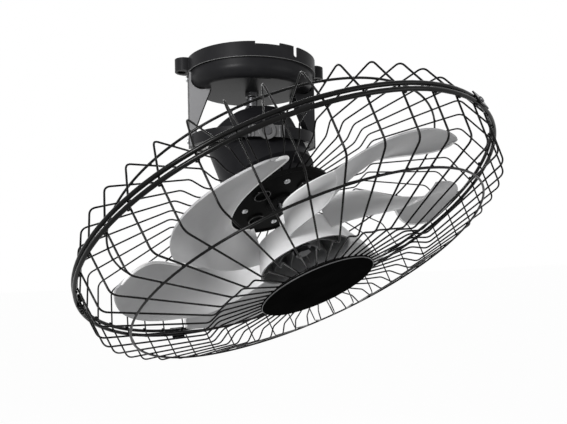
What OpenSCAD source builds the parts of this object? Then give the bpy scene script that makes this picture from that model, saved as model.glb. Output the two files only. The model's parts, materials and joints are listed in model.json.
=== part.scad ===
// Orbital ceiling fan: a ceiling canopy with two arms, a cradle ring, and a
// caged fan head that leans over and wanders round the vertical axis.
// Origin: centre of the ceiling face. +Z is up, the fan hangs below it.
// The arms stand on the X axis.

/* [Canopy] */
// Radius of the upper band of the canopy
canopy_r = 90.5; // [86:0.5:96]
// Height of the canopy
canopy_h = 41; // [36:1:46]
// Height of the upper band, above the step
canopy_band_h = 19; // [14:1:24]
// How far the lower band is set in from the upper band
canopy_step = 3.5; // [3.5:0.5:5]
// Round of the canopy's lower edge
canopy_edge_r = 14; // [8:0.5:16]
// Wall of the canopy
canopy_wall = 2.5; // [2:0.25:3.5]
// Distance of each mounting ear's screw outside the upper band
ear_offset = 7.5; // [6:0.5:10]
// Radius of the round end of an ear
ear_r = 14; // [11:0.5:14]
// Height of an ear
ear_h = 17; // [12:1:18]
// Radius of the screw hole through an ear
ear_hole_r = 2.75; // [2:0.25:3.5]

/* [Arms and cradle] */
// Drop from the ceiling to the centre of the cradle
pivot_drop = 112; // [108:1:120]
// Wall of the cradle ring
cradle_wall = 3.6; // [3:0.2:4.2]
// Height of the cradle ring
cradle_h = 15; // [14:0.5:18]
// Width of an arm
arm_w = 26; // [22:1:32]
// Thickness of an arm's strap
arm_t = 3; // [2:0.25:3.25]
// Thickness of an arm's two side flanges
flange_w = 2.5; // [1.5:0.25:3]
// Reach of the flanges along the underside of the canopy
flange_reach = 27; // [22:1:32]

/* [Fan head pose] */
// Lean of the fan head from straight down, in degrees
lean = 32; // [31.5:0.5:32.5]
// Compass direction of the lean, in degrees from +X
lean_direction = -63.3; // [-180:0.1:180]

/* [Motor] */
// Thinnest wall of the orbit ring, beside the motor drum
orbit_wall = 4.1; // [3.6:0.1:5]
// Wall of the motor shells
motor_wall = 2.4; // [2:0.2:3]
// Distance of the drum's front end from the cradle centre
drum_front = 68; // [62:1:72]
// Where the two motor shells meet
shell_joint = 34; // [30:1:38]
// Radius of the rotor shaft
shaft_r = 5; // [4:0.5:6]
// Length of the stator stack
stack_l = 34; // [28:1:36]
// Radius of the rotor core
rotor_r = 32; // [28:1:34]
// Radial air gap between rotor core and stator
air_gap = 0.5; // [0.4:0.1:0.8]

/* [Gearbox and crank] */
// Outer radius of the gearbox
gearbox_r = 26; // [25:0.5:27]
// Distance of the gearbox top from the cradle centre
gearbox_top = 41; // [40:0.5:42]
// Radius of the crank shaft
crank_shaft_r = 5; // [4:0.5:6]
// Radius of the centre stud's pin
stud_pin_r = 4; // [3:0.5:5]
// Teeth on the worm wheel
wheel_teeth = 20; // [16:2:24]

/* [Guard] */
// Outer radius of the guard
guard_r = 270; // [262:1:280]
// Distance of the guard's middle plane from the cradle centre
guard_s = 163.5; // [160:0.5:168]
// Radial wires in each half of the guard
wire_count = 44; // [36:4:48]
// Radius of a guard wire
wire_r = 1.25; // [1:0.05:1.5]
// Radius of the wire of the two rim rings
rim_wire_r = 2.25; // [1.8:0.05:2.6]
// Distance between the middles of the two rim rings
rim_pitch = 7; // [6.4:0.1:8]
// How far the guard's outer corner is set in from the rim
corner_inset = 15.5; // [14:0.5:22]
// Depth of the outer corner from the middle plane
corner_d = 47; // [42:0.5:52]
// How far the support ring is set in from the rim
support_inset = 47; // [35:1:65]
// Radius of the support ring's wire
support_wire_r = 1.7; // [1.4:0.1:2]
// Distance of the step's outer bend outside the badge
step_out_gap = 69.5; // [64:0.5:75]
// Depth of the step's outer bend
step_out_d = 74; // [70:0.5:78]
// Distance of the step's inner bend outside the badge
step_in_gap = 52.5; // [48:0.5:58]
// Depth of the guard's flat centre
centre_d = 64.5; // [62:0.5:66]
// Radius of the badge and of the grille plate
badge_r = 74.5; // [70:0.5:78]

/* [Fan wheel] */
// Number of blades
blade_count = 6; // [4:1:6]
// How far the blade tips are set in from the rim
tip_inset = 40; // [36:1:60]
// Radius of the hub at its open front
hub_front_r = 61; // [56:0.5:64]
// Radius of the hub at its back
hub_back_r = 52; // [46:0.5:54]
// Distance of the hub's back from the guard's middle plane
hub_back_d = 6; // [0:1:12]
// Distance of the hub's front from the guard's middle plane
hub_front_d = 30; // [26:1:34]
// Thickness of a blade
blade_t = 2.2; // [1.6:0.1:3]
// Turn of a blade's back edge, in degrees: four control values from hub to tip
blade_back_turn = [0, 9, 84, 60];
// Turn of a blade's front edge, in degrees: four control values from hub to tip
blade_front_turn = [-11, 5, 22, 17];
// Depth of a blade's back edge from the middle plane: four control values from hub to tip
blade_back_depth = [-28, -15, -19, 12];
// Depth of a blade's front edge from the middle plane: four control values from hub to tip
blade_front_depth = [17, 21, 43, 19];
// Turn of the fan wheel at rest, in degrees
blade_phase = -105.5; // [-180:0.5:180]

/* [Hidden] */

fit = 0.05;             // radial clearance of a running fit
seat = 0.05;            // gap between pieces that are screwed or pressed together
body_gap = 0.3;         // gap between faces that move past each other
smooth = 96;            // sides of a large round form in the preview
round_fn = 48;          // sides of a small round form in the preview
wire_fn = 16;           // sides of a ring's round stock in the preview
wire_sides = 8;         // sides of a bent wire

pivot_z = -pivot_drop;
lower_r = canopy_r - canopy_step;
ear_reach = canopy_r + ear_offset;
cradle_r = lower_r;
cradle_in_r = cradle_r - cradle_wall;
orbit_out_r = cradle_in_r - body_gap;
orbit_high = cradle_h / 2 - 2;
// the leaning drum fills the bore of the level orbit ring
motor_r = (orbit_out_r - orbit_wall) * cos(lean) - orbit_high * sin(lean) - fit;
corner_r = guard_r - corner_inset;
support_r = guard_r - support_inset;
step_out_r = badge_r + step_out_gap;
step_in_r = badge_r + step_in_gap;
blade_tip_r = guard_r - tip_inset;

// ---- placing -------------------------------------------------------------

// Head frame: -Z runs along the fan axis to the badge, X is the uphill side.
module on_head() {
    translate([0, 0, pivot_z]) rotate([0, -lean, lean_direction]) children();
}

// Cradle frame: origin at the cradle centre, X under the lean.
module on_cradle() {
    translate([0, 0, pivot_z]) children();
}

// A ring of round stock in the head frame, s from the cradle centre.
module stock_ring(r, s, stock_r) {
    translate([0, 0, -s]) rotate_extrude($fn = smooth) translate([r, 0]) circle(r = stock_r, $fn = wire_fn);
}

// A tube from s0 to s1 in the head frame.
module head_tube(r_out, r_in, s0, s1) {
    translate([0, 0, -s1]) difference() {
        cylinder(r = r_out, h = s1 - s0, $fn = smooth);
        translate([0, 0, -1]) cylinder(r = r_in, h = s1 - s0 + 2, $fn = smooth);
    }
}

module head_rod(r, s0, s1, sides = round_fn) {
    translate([0, 0, -s1]) cylinder(r = r, h = s1 - s0, $fn = sides);
}

// Copies at equal steps round the local Z axis.
module around(count, start = 0) {
    for (i = [0 : count - 1]) rotate([0, 0, start + i * 360 / count]) children();
}

// ---- bent wire -----------------------------------------------------------

function heading(a, b) = atan2(b[1] - a[1], b[0] - a[0]);
function along(a, b, d) = a + (b - a) * d / norm(b - a);

// The path with each inner corner cut back by trim on both sides.
function eased(path, trim) = [
    for (i = [0 : len(path) - 1]) each (i == 0 || i == len(path) - 1) ? [path[i]]
        : [along(path[i], path[i - 1], trim), along(path[i], path[i + 1], trim)]
];

// One ring of points round the path, in the plane that halves the turn there.
function wire_ring(path, i, r) = let (
        last = len(path) - 1,
        before = heading(path[max(i - 1, 0)], path[max(i, 1)]),
        after = heading(path[min(i, last - 1)], path[min(i + 1, last)]),
        mid = (before + after) / 2,
        wide = r / cos((after - before) / 2)
    ) [for (k = [0 : wire_sides - 1]) let (a = 360 * k / wire_sides)
        [path[i][0] - sin(mid) * wide * cos(a), r * sin(a), path[i][1] + cos(mid) * wide * cos(a)]];

// A wire along a bent path of points [radius, height], as one closed skin.
module bent_wire(path, r) {
    last = len(path) - 1;
    points = [for (i = [0 : last]) each wire_ring(path, i, r)];
    sides = [for (i = [0 : last - 1]) for (k = [0 : wire_sides - 1])
        let (a = i * wire_sides + k, b = i * wire_sides + (k + 1) % wire_sides)
        [a, b, b + wire_sides, a + wire_sides]];
    ends = [
        [for (k = [wire_sides - 1 : -1 : 0]) k],
        [for (k = [0 : wire_sides - 1]) last * wire_sides + k]
    ];
    polyhedron(points = points, faces = concat(sides, ends), convexity = 4);
}

// ---- canopy and what it holds ---------------------------------------------

slot_w = 21;
slot_h = 3;
ear_bore_depth = 9;
ear_bore_r = 6;
ear_centre_r = ear_reach - 5;

// Half section of a drum with a rounded lower edge, hanging from height 0.
module rounded_section(r, h, edge_r) {
    difference() {
        translate([0, -h]) square([r, h]);
        difference() {
            translate([r - edge_r, -h - 1]) square([edge_r + 1, edge_r + 1]);
            translate([r - edge_r, -h + edge_r]) circle(r = edge_r, $fn = smooth);
        }
    }
}

module canopy_shell() {
    difference() {
        union() {
            translate([0, 0, -canopy_band_h]) cylinder(r = canopy_r, h = canopy_band_h, $fn = smooth);
            rotate_extrude($fn = smooth) rounded_section(lower_r, canopy_h, canopy_edge_r);
        }
        translate([0, 0, canopy_wall - canopy_band_h]) cylinder(r = canopy_r - canopy_wall, h = canopy_band_h, $fn = smooth);
        rotate_extrude($fn = smooth)
            rounded_section(lower_r - canopy_wall, canopy_h - canopy_wall, canopy_edge_r - canopy_wall);
    }
}

module ear() {
    difference() {
        intersection() {
            translate([ear_centre_r, 0, -ear_h]) cylinder(r = ear_r, h = ear_h, $fn = round_fn);
            translate([canopy_r - canopy_wall / 2, -2 * ear_r, -canopy_h]) cube([3 * ear_r, 4 * ear_r, canopy_h + 1]);
        }
        translate([ear_reach, 0, -ear_h - 1]) cylinder(r = ear_bore_r, h = ear_bore_depth + 1, $fn = round_fn);
        translate([ear_reach, 0, -ear_h]) cylinder(r = ear_hole_r, h = ear_h + 1, $fn = round_fn);
    }
}

notch_w = 7;
notch_h = 10;
notch_direction = -62;
cut_w = 32;
cut_h = 3;
cut_direction = -88;
stud_hole_r = 5.1;

module canopy() {
    color([0.09, 0.09, 0.095]) {
        difference() {
            canopy_shell();
            // hole for the centre stud
            translate([0, 0, -canopy_h - 1]) cylinder(r = stud_hole_r, h = canopy_wall + 2, $fn = round_fn);
            // slot in the underside
            translate([-slot_w / 2, -lower_r + 13, -canopy_h - 1]) cube([slot_w, slot_h, canopy_wall + 2]);
            // cable notch with a round bottom, cut down from the ceiling edge
            rotate([0, 0, notch_direction]) {
                translate([canopy_r - canopy_wall - 1, 0, -notch_h]) rotate([0, 90, 0])
                    cylinder(r = notch_w / 2, h = canopy_wall + 2, $fn = round_fn);
                translate([canopy_r - canopy_wall - 1, -notch_w / 2, -notch_h]) cube([canopy_wall + 2, notch_w, notch_h + 1]);
            }
            // shallow cut in the ceiling edge
            rotate([0, 0, cut_direction]) translate([canopy_r - canopy_wall - 4, -cut_w / 2, -cut_h])
                cube([canopy_wall + 6, cut_w, cut_h + 1]);
        }
        ear();
        rotate([0, 0, 180]) ear();
    }
}

bar_l = 2 * (lower_r - canopy_edge_r - 1);
bar_w = 26;
bar_t = 2.5;
bar_z = -canopy_h + canopy_wall;

// Steel bar that spreads the stud's load over the canopy floor.
module mounting_bar() {
    color([0.55, 0.56, 0.58]) difference() {
        translate([-bar_l / 2, -bar_w / 2, bar_z]) cube([bar_l, bar_w, bar_t]);
        translate([0, 0, bar_z - 1]) cylinder(r = stud_hole_r, h = bar_t + 2, $fn = round_fn);
    }
}

block_size = [34, 18, 14];

module terminal_block() {
    color([0.85, 0.84, 0.8]) difference() {
        translate([-block_size[0] / 2, 32, bar_z]) cube(block_size);
        for (x = [-11, 0, 11]) translate([x, 32 + block_size[1] / 2, bar_z + block_size[2] - 8])
            cylinder(r = 2, h = 9, $fn = 24);
    }
}

capacitor_r = 10;
capacitor_l = 40;

module run_capacitor() {
    color([0.78, 0.78, 0.76]) translate([-capacitor_l / 2, -44, bar_z + capacitor_r]) rotate([0, 90, 0])
        cylinder(r = capacitor_r, h = capacitor_l, $fn = round_fn);
}

// Height above the cradle centre of the crank's upright boss.
boss_low = 51;
boss_h = 11;
stud_r = 5;
nut_across = 17;
nut_t = 5;
shoulder_r = 6.5;
boss_top_z = pivot_z + boss_low + boss_h;

module centre_stud() {
    color([0.45, 0.46, 0.48]) {
        translate([0, 0, boss_top_z + body_gap]) cylinder(r = shoulder_r, h = 2, $fn = round_fn);
        translate([0, 0, boss_top_z + body_gap]) cylinder(r = stud_r, h = -boss_top_z - canopy_h + canopy_wall + bar_t + nut_t + 4, $fn = round_fn);
        translate([0, 0, pivot_z + boss_low - 1]) cylinder(r = stud_pin_r, h = boss_h + 2, $fn = round_fn);
    }
}

module hex_nut(z, hole) {
    translate([0, 0, z]) difference() {
        cylinder(r = nut_across / sqrt(3), h = nut_t, $fn = 6);
        translate([0, 0, -1]) cylinder(r = hole, h = nut_t + 2, $fn = round_fn);
    }
}

// The nut above the bar, and the nut that clamps the canopy floor from below.
module stud_nuts() {
    color([0.3, 0.3, 0.32]) {
        hex_nut(bar_z + bar_t, stud_r + seat);
        hex_nut(-canopy_h - nut_t, stud_r + seat);
    }
}

// ---- arms and cradle -------------------------------------------------------

arm_in_r = cradle_r + seat;
arm_out_r = arm_in_r + arm_t;
arm_top_z = -canopy_band_h - seat;
arm_low_z = pivot_z - cradle_h / 2 - 1;
arm_screw_r = 2;
arm_screw_z = [-canopy_band_h - 7, pivot_z];
flange_foot_w = 6;

// A flange hugs the round edge of the canopy, then narrows towards the cradle.
module arm_flange_outline() {
    outer = arm_in_r + arm_t / 2;
    top = -canopy_h - seat;
    low = pivot_z + cradle_h / 2 + 0.4;
    corner_x = lower_r - canopy_edge_r - 1;
    difference() {
        polygon([
            [outer, top + canopy_edge_r], [corner_x, top + canopy_edge_r], [corner_x, top],
            [arm_in_r - flange_reach, top], [arm_in_r - flange_reach * 0.55, top - (top - low) * 0.5],
            [arm_in_r - flange_foot_w, low + 8], [arm_in_r - flange_foot_w, low], [outer, low]
        ]);
        translate([corner_x, -canopy_h + canopy_edge_r]) circle(r = canopy_edge_r + 1.3, $fn = round_fn);
    }
}

// One arm, standing on +X: a curved strap outside with two flanges that point in.
module arm() {
    color([0.11, 0.11, 0.115]) difference() {
        union() {
            intersection() {
                difference() {
                    translate([0, 0, arm_low_z]) cylinder(r = arm_out_r, h = arm_top_z - arm_low_z, $fn = smooth);
                    translate([0, 0, arm_low_z - 1]) cylinder(r = arm_in_r, h = arm_top_z - arm_low_z + 2, $fn = smooth);
                }
                translate([arm_in_r / 2, -arm_w / 2, arm_low_z - 5]) cube([arm_out_r, arm_w, arm_top_z - arm_low_z + 10]);
            }
            for (y = [flange_w - arm_w / 2, arm_w / 2]) translate([0, y, 0]) rotate([90, 0, 0])
                linear_extrude(flange_w) arm_flange_outline();
        }
        for (z = arm_screw_z) translate([arm_in_r - 4, 0, z]) rotate([0, 90, 0])
            cylinder(r = arm_screw_r + 0.1, h = arm_t + 8, $fn = 24);
    }
}

module arm_right() { arm(); }

module arm_left() { rotate([0, 0, 180]) arm(); }

module screw(r, l, head_r, head_h) {
    cylinder(r = r, h = l, $fn = 24);
    translate([0, 0, l]) cylinder(r = head_r, h = head_h, $fn = 24);
}

module arm_screws() {
    color([0.6, 0.6, 0.62]) for (side = [0, 180]) rotate([0, 0, side]) {
        translate([arm_in_r + 0.2, 0, arm_screw_z[0]]) rotate([0, 90, 0]) screw(arm_screw_r, arm_t, 4, 2.2);
        translate([arm_in_r + 0.2, 0, arm_screw_z[1]]) rotate([0, 90, 0]) screw(arm_screw_r, arm_t, 4, 2.2);
    }
}

lip_in_r = cradle_in_r - 2.2;
lip_h = 1.9;
keeper_r = 3;
plate_w = 46;
plate_t = 1.6;
boss_r = 11;
boss_out = 3.2;
boss_recess_r = 7;
boss_recess = 1.2;

module cradle_ring() {
    color([0.1, 0.1, 0.105]) on_cradle() difference() {
        union() {
            difference() {
                translate([0, 0, -cradle_h / 2]) cylinder(r = cradle_r, h = cradle_h, $fn = smooth);
                translate([0, 0, -cradle_h]) cylinder(r = cradle_in_r, h = 2 * cradle_h, $fn = smooth);
            }
            translate([0, 0, -cradle_h / 2]) difference() {
                cylinder(r = cradle_in_r + 1, h = lip_h, $fn = smooth);
                translate([0, 0, -1]) cylinder(r = lip_in_r, h = lip_h + 2, $fn = smooth);
            }
        }
        for (side = [90, 270]) rotate([0, 0, side]) translate([cradle_in_r - 3, 0, 0]) rotate([0, 90, 0])
            cylinder(r = keeper_r + seat, h = cradle_wall + 6, $fn = round_fn);
    }
}

// Plates on the front and back of the cradle, each with a round boss for a keeper pin.
module pivot_plate() {
    face = cradle_r + seat;
    difference() {
        union() {
            intersection() {
                translate([0, 0, -cradle_h / 2]) cylinder(r = face + plate_t, h = cradle_h, $fn = smooth);
                translate([face - 30, -plate_w / 2, -cradle_h]) cube([40, plate_w, 2 * cradle_h]);
            }
            translate([face - 8, 0, 0]) rotate([0, 90, 0]) cylinder(r = boss_r, h = 8 + boss_out, $fn = round_fn);
            for (y = [-plate_w / 2 + 1, -plate_w / 2 + 6, plate_w / 2 - 6, plate_w / 2 - 1])
                translate([face - 8, y - 0.8, -cradle_h / 2]) cube([8 + plate_t - 0.4, 1.6, cradle_h]);
        }
        translate([0, 0, -2 * cradle_h]) cylinder(r = face, h = 4 * cradle_h, $fn = smooth);
        translate([face + boss_out - boss_recess, 0, 0]) rotate([0, 90, 0]) cylinder(r = boss_recess_r, h = 5, $fn = round_fn);
        translate([face - 12, 0, 0]) rotate([0, 90, 0]) cylinder(r = keeper_r + seat, h = 30, $fn = round_fn);
    }
}

module pivot_plates() {
    color([0.22, 0.22, 0.23]) on_cradle() for (side = [90, 270]) rotate([0, 0, side]) pivot_plate();
}

groove_depth = 2.2;
keeper_tip = orbit_out_r - groove_depth + 0.4;

module keeper_pins() {
    head_at = cradle_r + seat + boss_out - boss_recess;
    color([0.5, 0.5, 0.52]) on_cradle() for (side = [90, 270]) rotate([0, 0, side]) {
        translate([keeper_tip, 0, 0]) rotate([0, 90, 0]) cylinder(r = keeper_r, h = head_at - keeper_tip, $fn = round_fn);
        translate([head_at, 0, 0]) rotate([0, 90, 0]) cylinder(r = keeper_r + 2, h = 2, $fn = round_fn);
    }
}

// ---- orbit carrier ---------------------------------------------------------

orbit_low = -cradle_h / 2 + lip_h + body_gap;

// Level ring with a leaning bore: it turns in the cradle and carries the motor drum.
module orbit_ring() {
    color([0.8, 0.8, 0.78]) on_cradle() difference() {
        translate([0, 0, orbit_low]) cylinder(r = orbit_out_r, h = orbit_high - orbit_low, $fn = smooth);
        translate([0, 0, -keeper_r - 0.3]) difference() {
            cylinder(r = orbit_out_r + 5, h = 2 * keeper_r + 0.6, $fn = smooth);
            translate([0, 0, -1]) cylinder(r = orbit_out_r - groove_depth, h = 2 * keeper_r + 3, $fn = smooth);
        }
        rotate([0, -lean, lean_direction]) translate([0, 0, -100]) cylinder(r = motor_r + fit, h = 200, $fn = smooth);
    }
}

crank_low = gearbox_top + 0.8;
crank_t = 5;
crank_arm_w = 13;
crank_hub_r = 9;
boss_crank_r = 8;
boss_reach = (boss_low + boss_h / 2) * sin(lean);

// Crank: shaft into the gearbox, arm uphill, upright boss round the centre stud's pin.
module crank() {
    color([0.35, 0.35, 0.37]) difference() {
        union() {
            on_head() {
                head_rod(crank_shaft_r, -crank_low - crank_t, 0.5 + gear_t - gear_top);
                head_rod(crank_hub_r, -crank_low - crank_t, -crank_low);
                translate([0, -crank_arm_w / 2, crank_low]) cube([boss_reach, crank_arm_w, crank_t]);
            }
            on_cradle() translate([0, 0, boss_low]) cylinder(r = boss_crank_r, h = boss_h, $fn = round_fn);
        }
        on_cradle() translate([0, 0, boss_low - 20]) cylinder(r = stud_pin_r + fit, h = 60, $fn = round_fn);
        on_cradle() translate([0, 0, boss_low + boss_h]) cylinder(r = 30, h = 30, $fn = round_fn);
    }
}

gear_r = 20;
gear_t = 4;
gear_top = gearbox_top - 9;
gear_teeth = 40;

// Tooth flanks as a plain outline: root, rise, tip, fall.
function gear_point(r, teeth, depth, i) = let (
        turn = (floor(i / 4) + [0, 0.2, 0.35, 0.65][i % 4] + 0.15) * 360 / teeth,
        reach = (i % 4 == 1 || i % 4 == 2) ? r : r - depth
    ) reach * [cos(turn), sin(turn)];

module toothed_wheel(r, teeth, depth, t, bore) {
    difference() {
        linear_extrude(t) polygon([for (i = [0 : 4 * teeth - 1]) gear_point(r, teeth, depth, i)]);
        translate([0, 0, -1]) cylinder(r = bore, h = t + 2, $fn = round_fn);
    }
}

module crank_gear() {
    color([0.85, 0.83, 0.72]) on_head() translate([0, 0, gear_top - gear_t])
        toothed_wheel(gear_r, gear_teeth, 2, gear_t, crank_shaft_r + seat);
}

// ---- motor -----------------------------------------------------------------

shoulder_s = 2;          // where the drum's round shoulder starts
shoulder_depth = 17;     // how far the shoulder goes back
shoulder_in = 6;         // how far the shoulder comes in
back_s = shoulder_s - shoulder_depth;
inner_r = motor_r - motor_wall;
bearing_r = 13;
bearing_l = 8;
seat_r = bearing_r + seat;
seat_wall = 3;
vent_count = 16;
vent_w = 4;
vent_l = 14;
bolt_r = 2;
gearbox_flange = 9;

// The shoulder's curve from the drum side (0) to the back (90 degrees).
function shoulder_point(r, depth, a) = [r - shoulder_in * (1 - cos(a)), depth * sin(a) - shoulder_s];

module rear_motor_shell() {
    plate_z = -back_s - motor_wall;
    color([0.08, 0.08, 0.085]) on_head() difference() {
        rotate_extrude($fn = smooth) polygon(concat(
            [[motor_r, -shell_joint]],
            [for (a = [0 : 15 : 90]) shoulder_point(motor_r, shoulder_depth, a)],
            [[shaft_r + 1.5, -back_s], [shaft_r + 1.5, plate_z], [seat_r, plate_z], [seat_r, plate_z - bearing_l],
             [seat_r + seat_wall, plate_z - bearing_l], [seat_r + seat_wall, plate_z]],
            [for (a = [90 : -15 : 0]) shoulder_point(inner_r, shoulder_depth - motor_wall, a)],
            [[inner_r, -shell_joint]]
        ));
        around(vent_count, 360 / vent_count / 2) translate([gearbox_r + gearbox_flange + 3, -vent_w / 2, plate_z - 1])
            cube([vent_l, vent_w, motor_wall + 2]);
    }
}

neck_r = motor_r - 14;
neck_s = drum_front + 8;
flange_s = guard_s - centre_d - wire_r;
flange_t = 3;
flange_r = motor_r;
seat_s = drum_front + 6;
wall_s = seat_s + bearing_l;
window_count = 8;

// Front shell: drum, tapered end, bearing seat, and an open neck that carries the guard.
module front_motor_shell() {
    inside_neck = neck_r - motor_wall;
    color([0.08, 0.08, 0.085]) on_head() difference() {
        rotate_extrude($fn = smooth) polygon([
            [motor_r, -shell_joint - seat], [motor_r, -drum_front], [neck_r, -neck_s],
            [neck_r, -flange_s + flange_t], [flange_r, -flange_s + flange_t], [flange_r, -flange_s],
            [inside_neck, -flange_s], [inside_neck, -wall_s - motor_wall], [shaft_r + 1.5, -wall_s - motor_wall],
            [shaft_r + 1.5, -wall_s], [seat_r, -wall_s], [seat_r, -seat_s], [seat_r + seat_wall, -seat_s],
            [seat_r + seat_wall, -wall_s], [inside_neck, -wall_s], [inside_neck, -neck_s],
            [inner_r, -drum_front + 1], [inner_r, -shell_joint - seat]
        ]);
        around(window_count, 8) translate([neck_r - 8, -8, -flange_s + flange_t + 1.5])
            cube([16, 16, flange_s - flange_t - wall_s - motor_wall - 3]);
    }
}

module gearbox_housing() {
    wall = 2.4;
    color([0.09, 0.09, 0.095]) on_head() difference() {
        union() {
            translate([0, 0, -back_s + seat]) cylinder(r = gearbox_r, h = gearbox_top + back_s - seat, $fn = smooth);
            translate([0, 0, -back_s + seat]) cylinder(r = gearbox_r + gearbox_flange, h = 3, $fn = smooth);
        }
        translate([0, 0, -back_s - 1]) cylinder(r = gearbox_r - wall, h = gearbox_top + back_s - wall + 1, $fn = smooth);
        translate([0, 0, gearbox_top - wall - 1]) cylinder(r = crank_shaft_r + 2.5 + seat, h = wall + 2, $fn = round_fn);
        around(4, 45) translate([gearbox_r + 4.5, 0, -back_s - 1]) cylinder(r = bolt_r + 0.2, h = 6, $fn = 24);
    }
}

module crank_bush() {
    color([0.72, 0.6, 0.3]) on_head() difference() {
        translate([0, 0, gearbox_top - 7]) cylinder(r = crank_shaft_r + 2.5, h = 7, $fn = round_fn);
        translate([0, 0, gearbox_top - 8]) cylinder(r = crank_shaft_r + fit, h = 9, $fn = round_fn);
    }
}

// Screws that hold the gearbox to the motor's back.
module motor_bolts() {
    color([0.6, 0.6, 0.62]) on_head() around(4, 45) translate([gearbox_r + 4.5, 0, -back_s + seat])
        screw(bolt_r, 3 + seat, 3.6, 2.2);
}

stack_s = shell_joint - stack_l / 2;

module stator_core() {
    color([0.5, 0.51, 0.53]) on_head() head_tube(inner_r - seat, rotor_r + air_gap, stack_s, stack_s + stack_l);
}

winding_l = 9;

module stator_windings() {
    color([0.72, 0.4, 0.18]) on_head() {
        head_tube(inner_r - 7, rotor_r + 5, stack_s - winding_l, stack_s);
        head_tube(inner_r - 7, rotor_r + 5, stack_s + stack_l, stack_s + stack_l + winding_l);
    }
}

module rear_bearing() {
    color([0.7, 0.71, 0.73]) on_head() head_tube(bearing_r, shaft_r + fit, back_s + motor_wall, back_s + motor_wall + bearing_l);
}

module front_bearing() {
    color([0.7, 0.71, 0.73]) on_head() head_tube(bearing_r, shaft_r + fit, seat_s, wall_s);
}

// ---- guard -----------------------------------------------------------------

plate_s = guard_s - centre_d + wire_r;
plate_thick = 3;
wire_in_r = 56;
recess_r = 9.5;
recess_ring_r = 43;
plate_screw_ring_r = 50;

// Black plate that clamps the rear wires to the motor, seen behind the blades.
module grille_plate() {
    color([0.03, 0.03, 0.03]) on_head() difference() {
        union() {
            translate([0, 0, -plate_s - plate_thick]) cylinder(r = badge_r - 1.5, h = plate_thick, $fn = smooth);
            translate([0, 0, -plate_s - plate_thick - 2]) difference() {
                cylinder(r = badge_r - 1.5, h = 3, $fn = smooth);
                translate([0, 0, -1]) cylinder(r = badge_r - 4, h = 5, $fn = smooth);
            }
            around(4, 20) translate([recess_ring_r, 0, -plate_s - plate_thick - 2]) cylinder(r = recess_r + 2, h = 3, $fn = round_fn);
            translate([0, 0, -plate_s - plate_thick - 4]) cylinder(r = 19, h = 5, $fn = round_fn);
        }
        translate([0, 0, -plate_s - plate_thick - 10]) cylinder(r = shaft_r + 1.5, h = 20, $fn = round_fn);
        around(4, 20) translate([recess_ring_r, 0, -plate_s - plate_thick - 4]) cylinder(r = recess_r, h = 5, $fn = round_fn);
        around(4, 65) translate([plate_screw_ring_r, 0, -plate_s - 10]) cylinder(r = bolt_r + 0.15, h = 20, $fn = 24);
    }
}

module grille_plate_screws() {
    color([0.7, 0.7, 0.72]) on_head() around(4, 65) translate([plate_screw_ring_r, 0, -plate_s])
        rotate([180, 0, 0]) screw(bolt_r, plate_thick, 4.2, 2.4);
}

// Path of one guard wire, in the plane of radius and height from the middle plane.
rim_mid_r = guard_r - rim_wire_r;
touch = wire_r + rim_wire_r;
to_rim = [rim_mid_r - corner_r, rim_pitch / 2 - corner_d];
rim_lean = asin(touch / norm(to_rim));
leg_heading = atan2(to_rim[1], to_rim[0]) - rim_lean;
leg_l = norm(to_rim) * cos(rim_lean) + rim_wire_r;
wire_end = [corner_r, corner_d] + leg_l * [cos(leg_heading), sin(leg_heading)];
// Depth of the sloping wire at radius r, between the corner and the step.
function slope_depth(r) = corner_d + (corner_r - r) * (step_out_d - corner_d) / (corner_r - step_out_r);
slope_angle = atan((step_out_d - corner_d) / (corner_r - step_out_r));
support_d = slope_depth(support_r) + (wire_r + support_wire_r) / cos(slope_angle);

// One side of the guard: -1 for the motor side, 1 for the front.
function guard_path(side) = [for (p = [
    wire_end, [corner_r, corner_d], [step_out_r, step_out_d], [step_in_r, centre_d], [wire_in_r, centre_d]
]) [p[0], -guard_s - side * p[1]]];
bend_trim = 4;

module rear_guard_wires() {
    color([0.02, 0.02, 0.02]) on_head() around(wire_count) bent_wire(eased(guard_path(-1), bend_trim), wire_r);
}

module front_guard_wires() {
    color([0.02, 0.02, 0.02]) on_head() around(wire_count) bent_wire(eased(guard_path(1), bend_trim), wire_r);
}

module rear_rim_ring() {
    color([0.03, 0.03, 0.03]) on_head() stock_ring(rim_mid_r, guard_s - rim_pitch / 2, rim_wire_r);
}

module front_rim_ring() {
    color([0.03, 0.03, 0.03]) on_head() stock_ring(rim_mid_r, guard_s + rim_pitch / 2, rim_wire_r);
}

module rear_support_ring() {
    color([0.02, 0.02, 0.02]) on_head() stock_ring(support_r, guard_s - support_d, support_wire_r);
}

module front_support_ring() {
    color([0.02, 0.02, 0.02]) on_head() stock_ring(support_r, guard_s + support_d, support_wire_r);
}

centre_ring_r = 62;

module front_centre_ring() {
    color([0.02, 0.02, 0.02]) on_head()
        stock_ring(centre_ring_r, guard_s + centre_d - wire_r - support_wire_r, support_wire_r);
}

badge_t = 3.2;

// Plain round badge, slightly dished, with a thin edge.
module badge() {
    s0 = guard_s + centre_d + wire_r;
    color([0.01, 0.01, 0.01]) on_head() rotate_extrude($fn = smooth) polygon([
        [0, -s0], [badge_r, -s0], [badge_r, -s0 - 1.2], [badge_r - 2, -s0 - badge_t], [0, -s0 - badge_t]
    ]);
}

clip_w = 22;
clip_t = 1.5;
clip_direction = 10;
clip_screw_r = 1.15;

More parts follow.
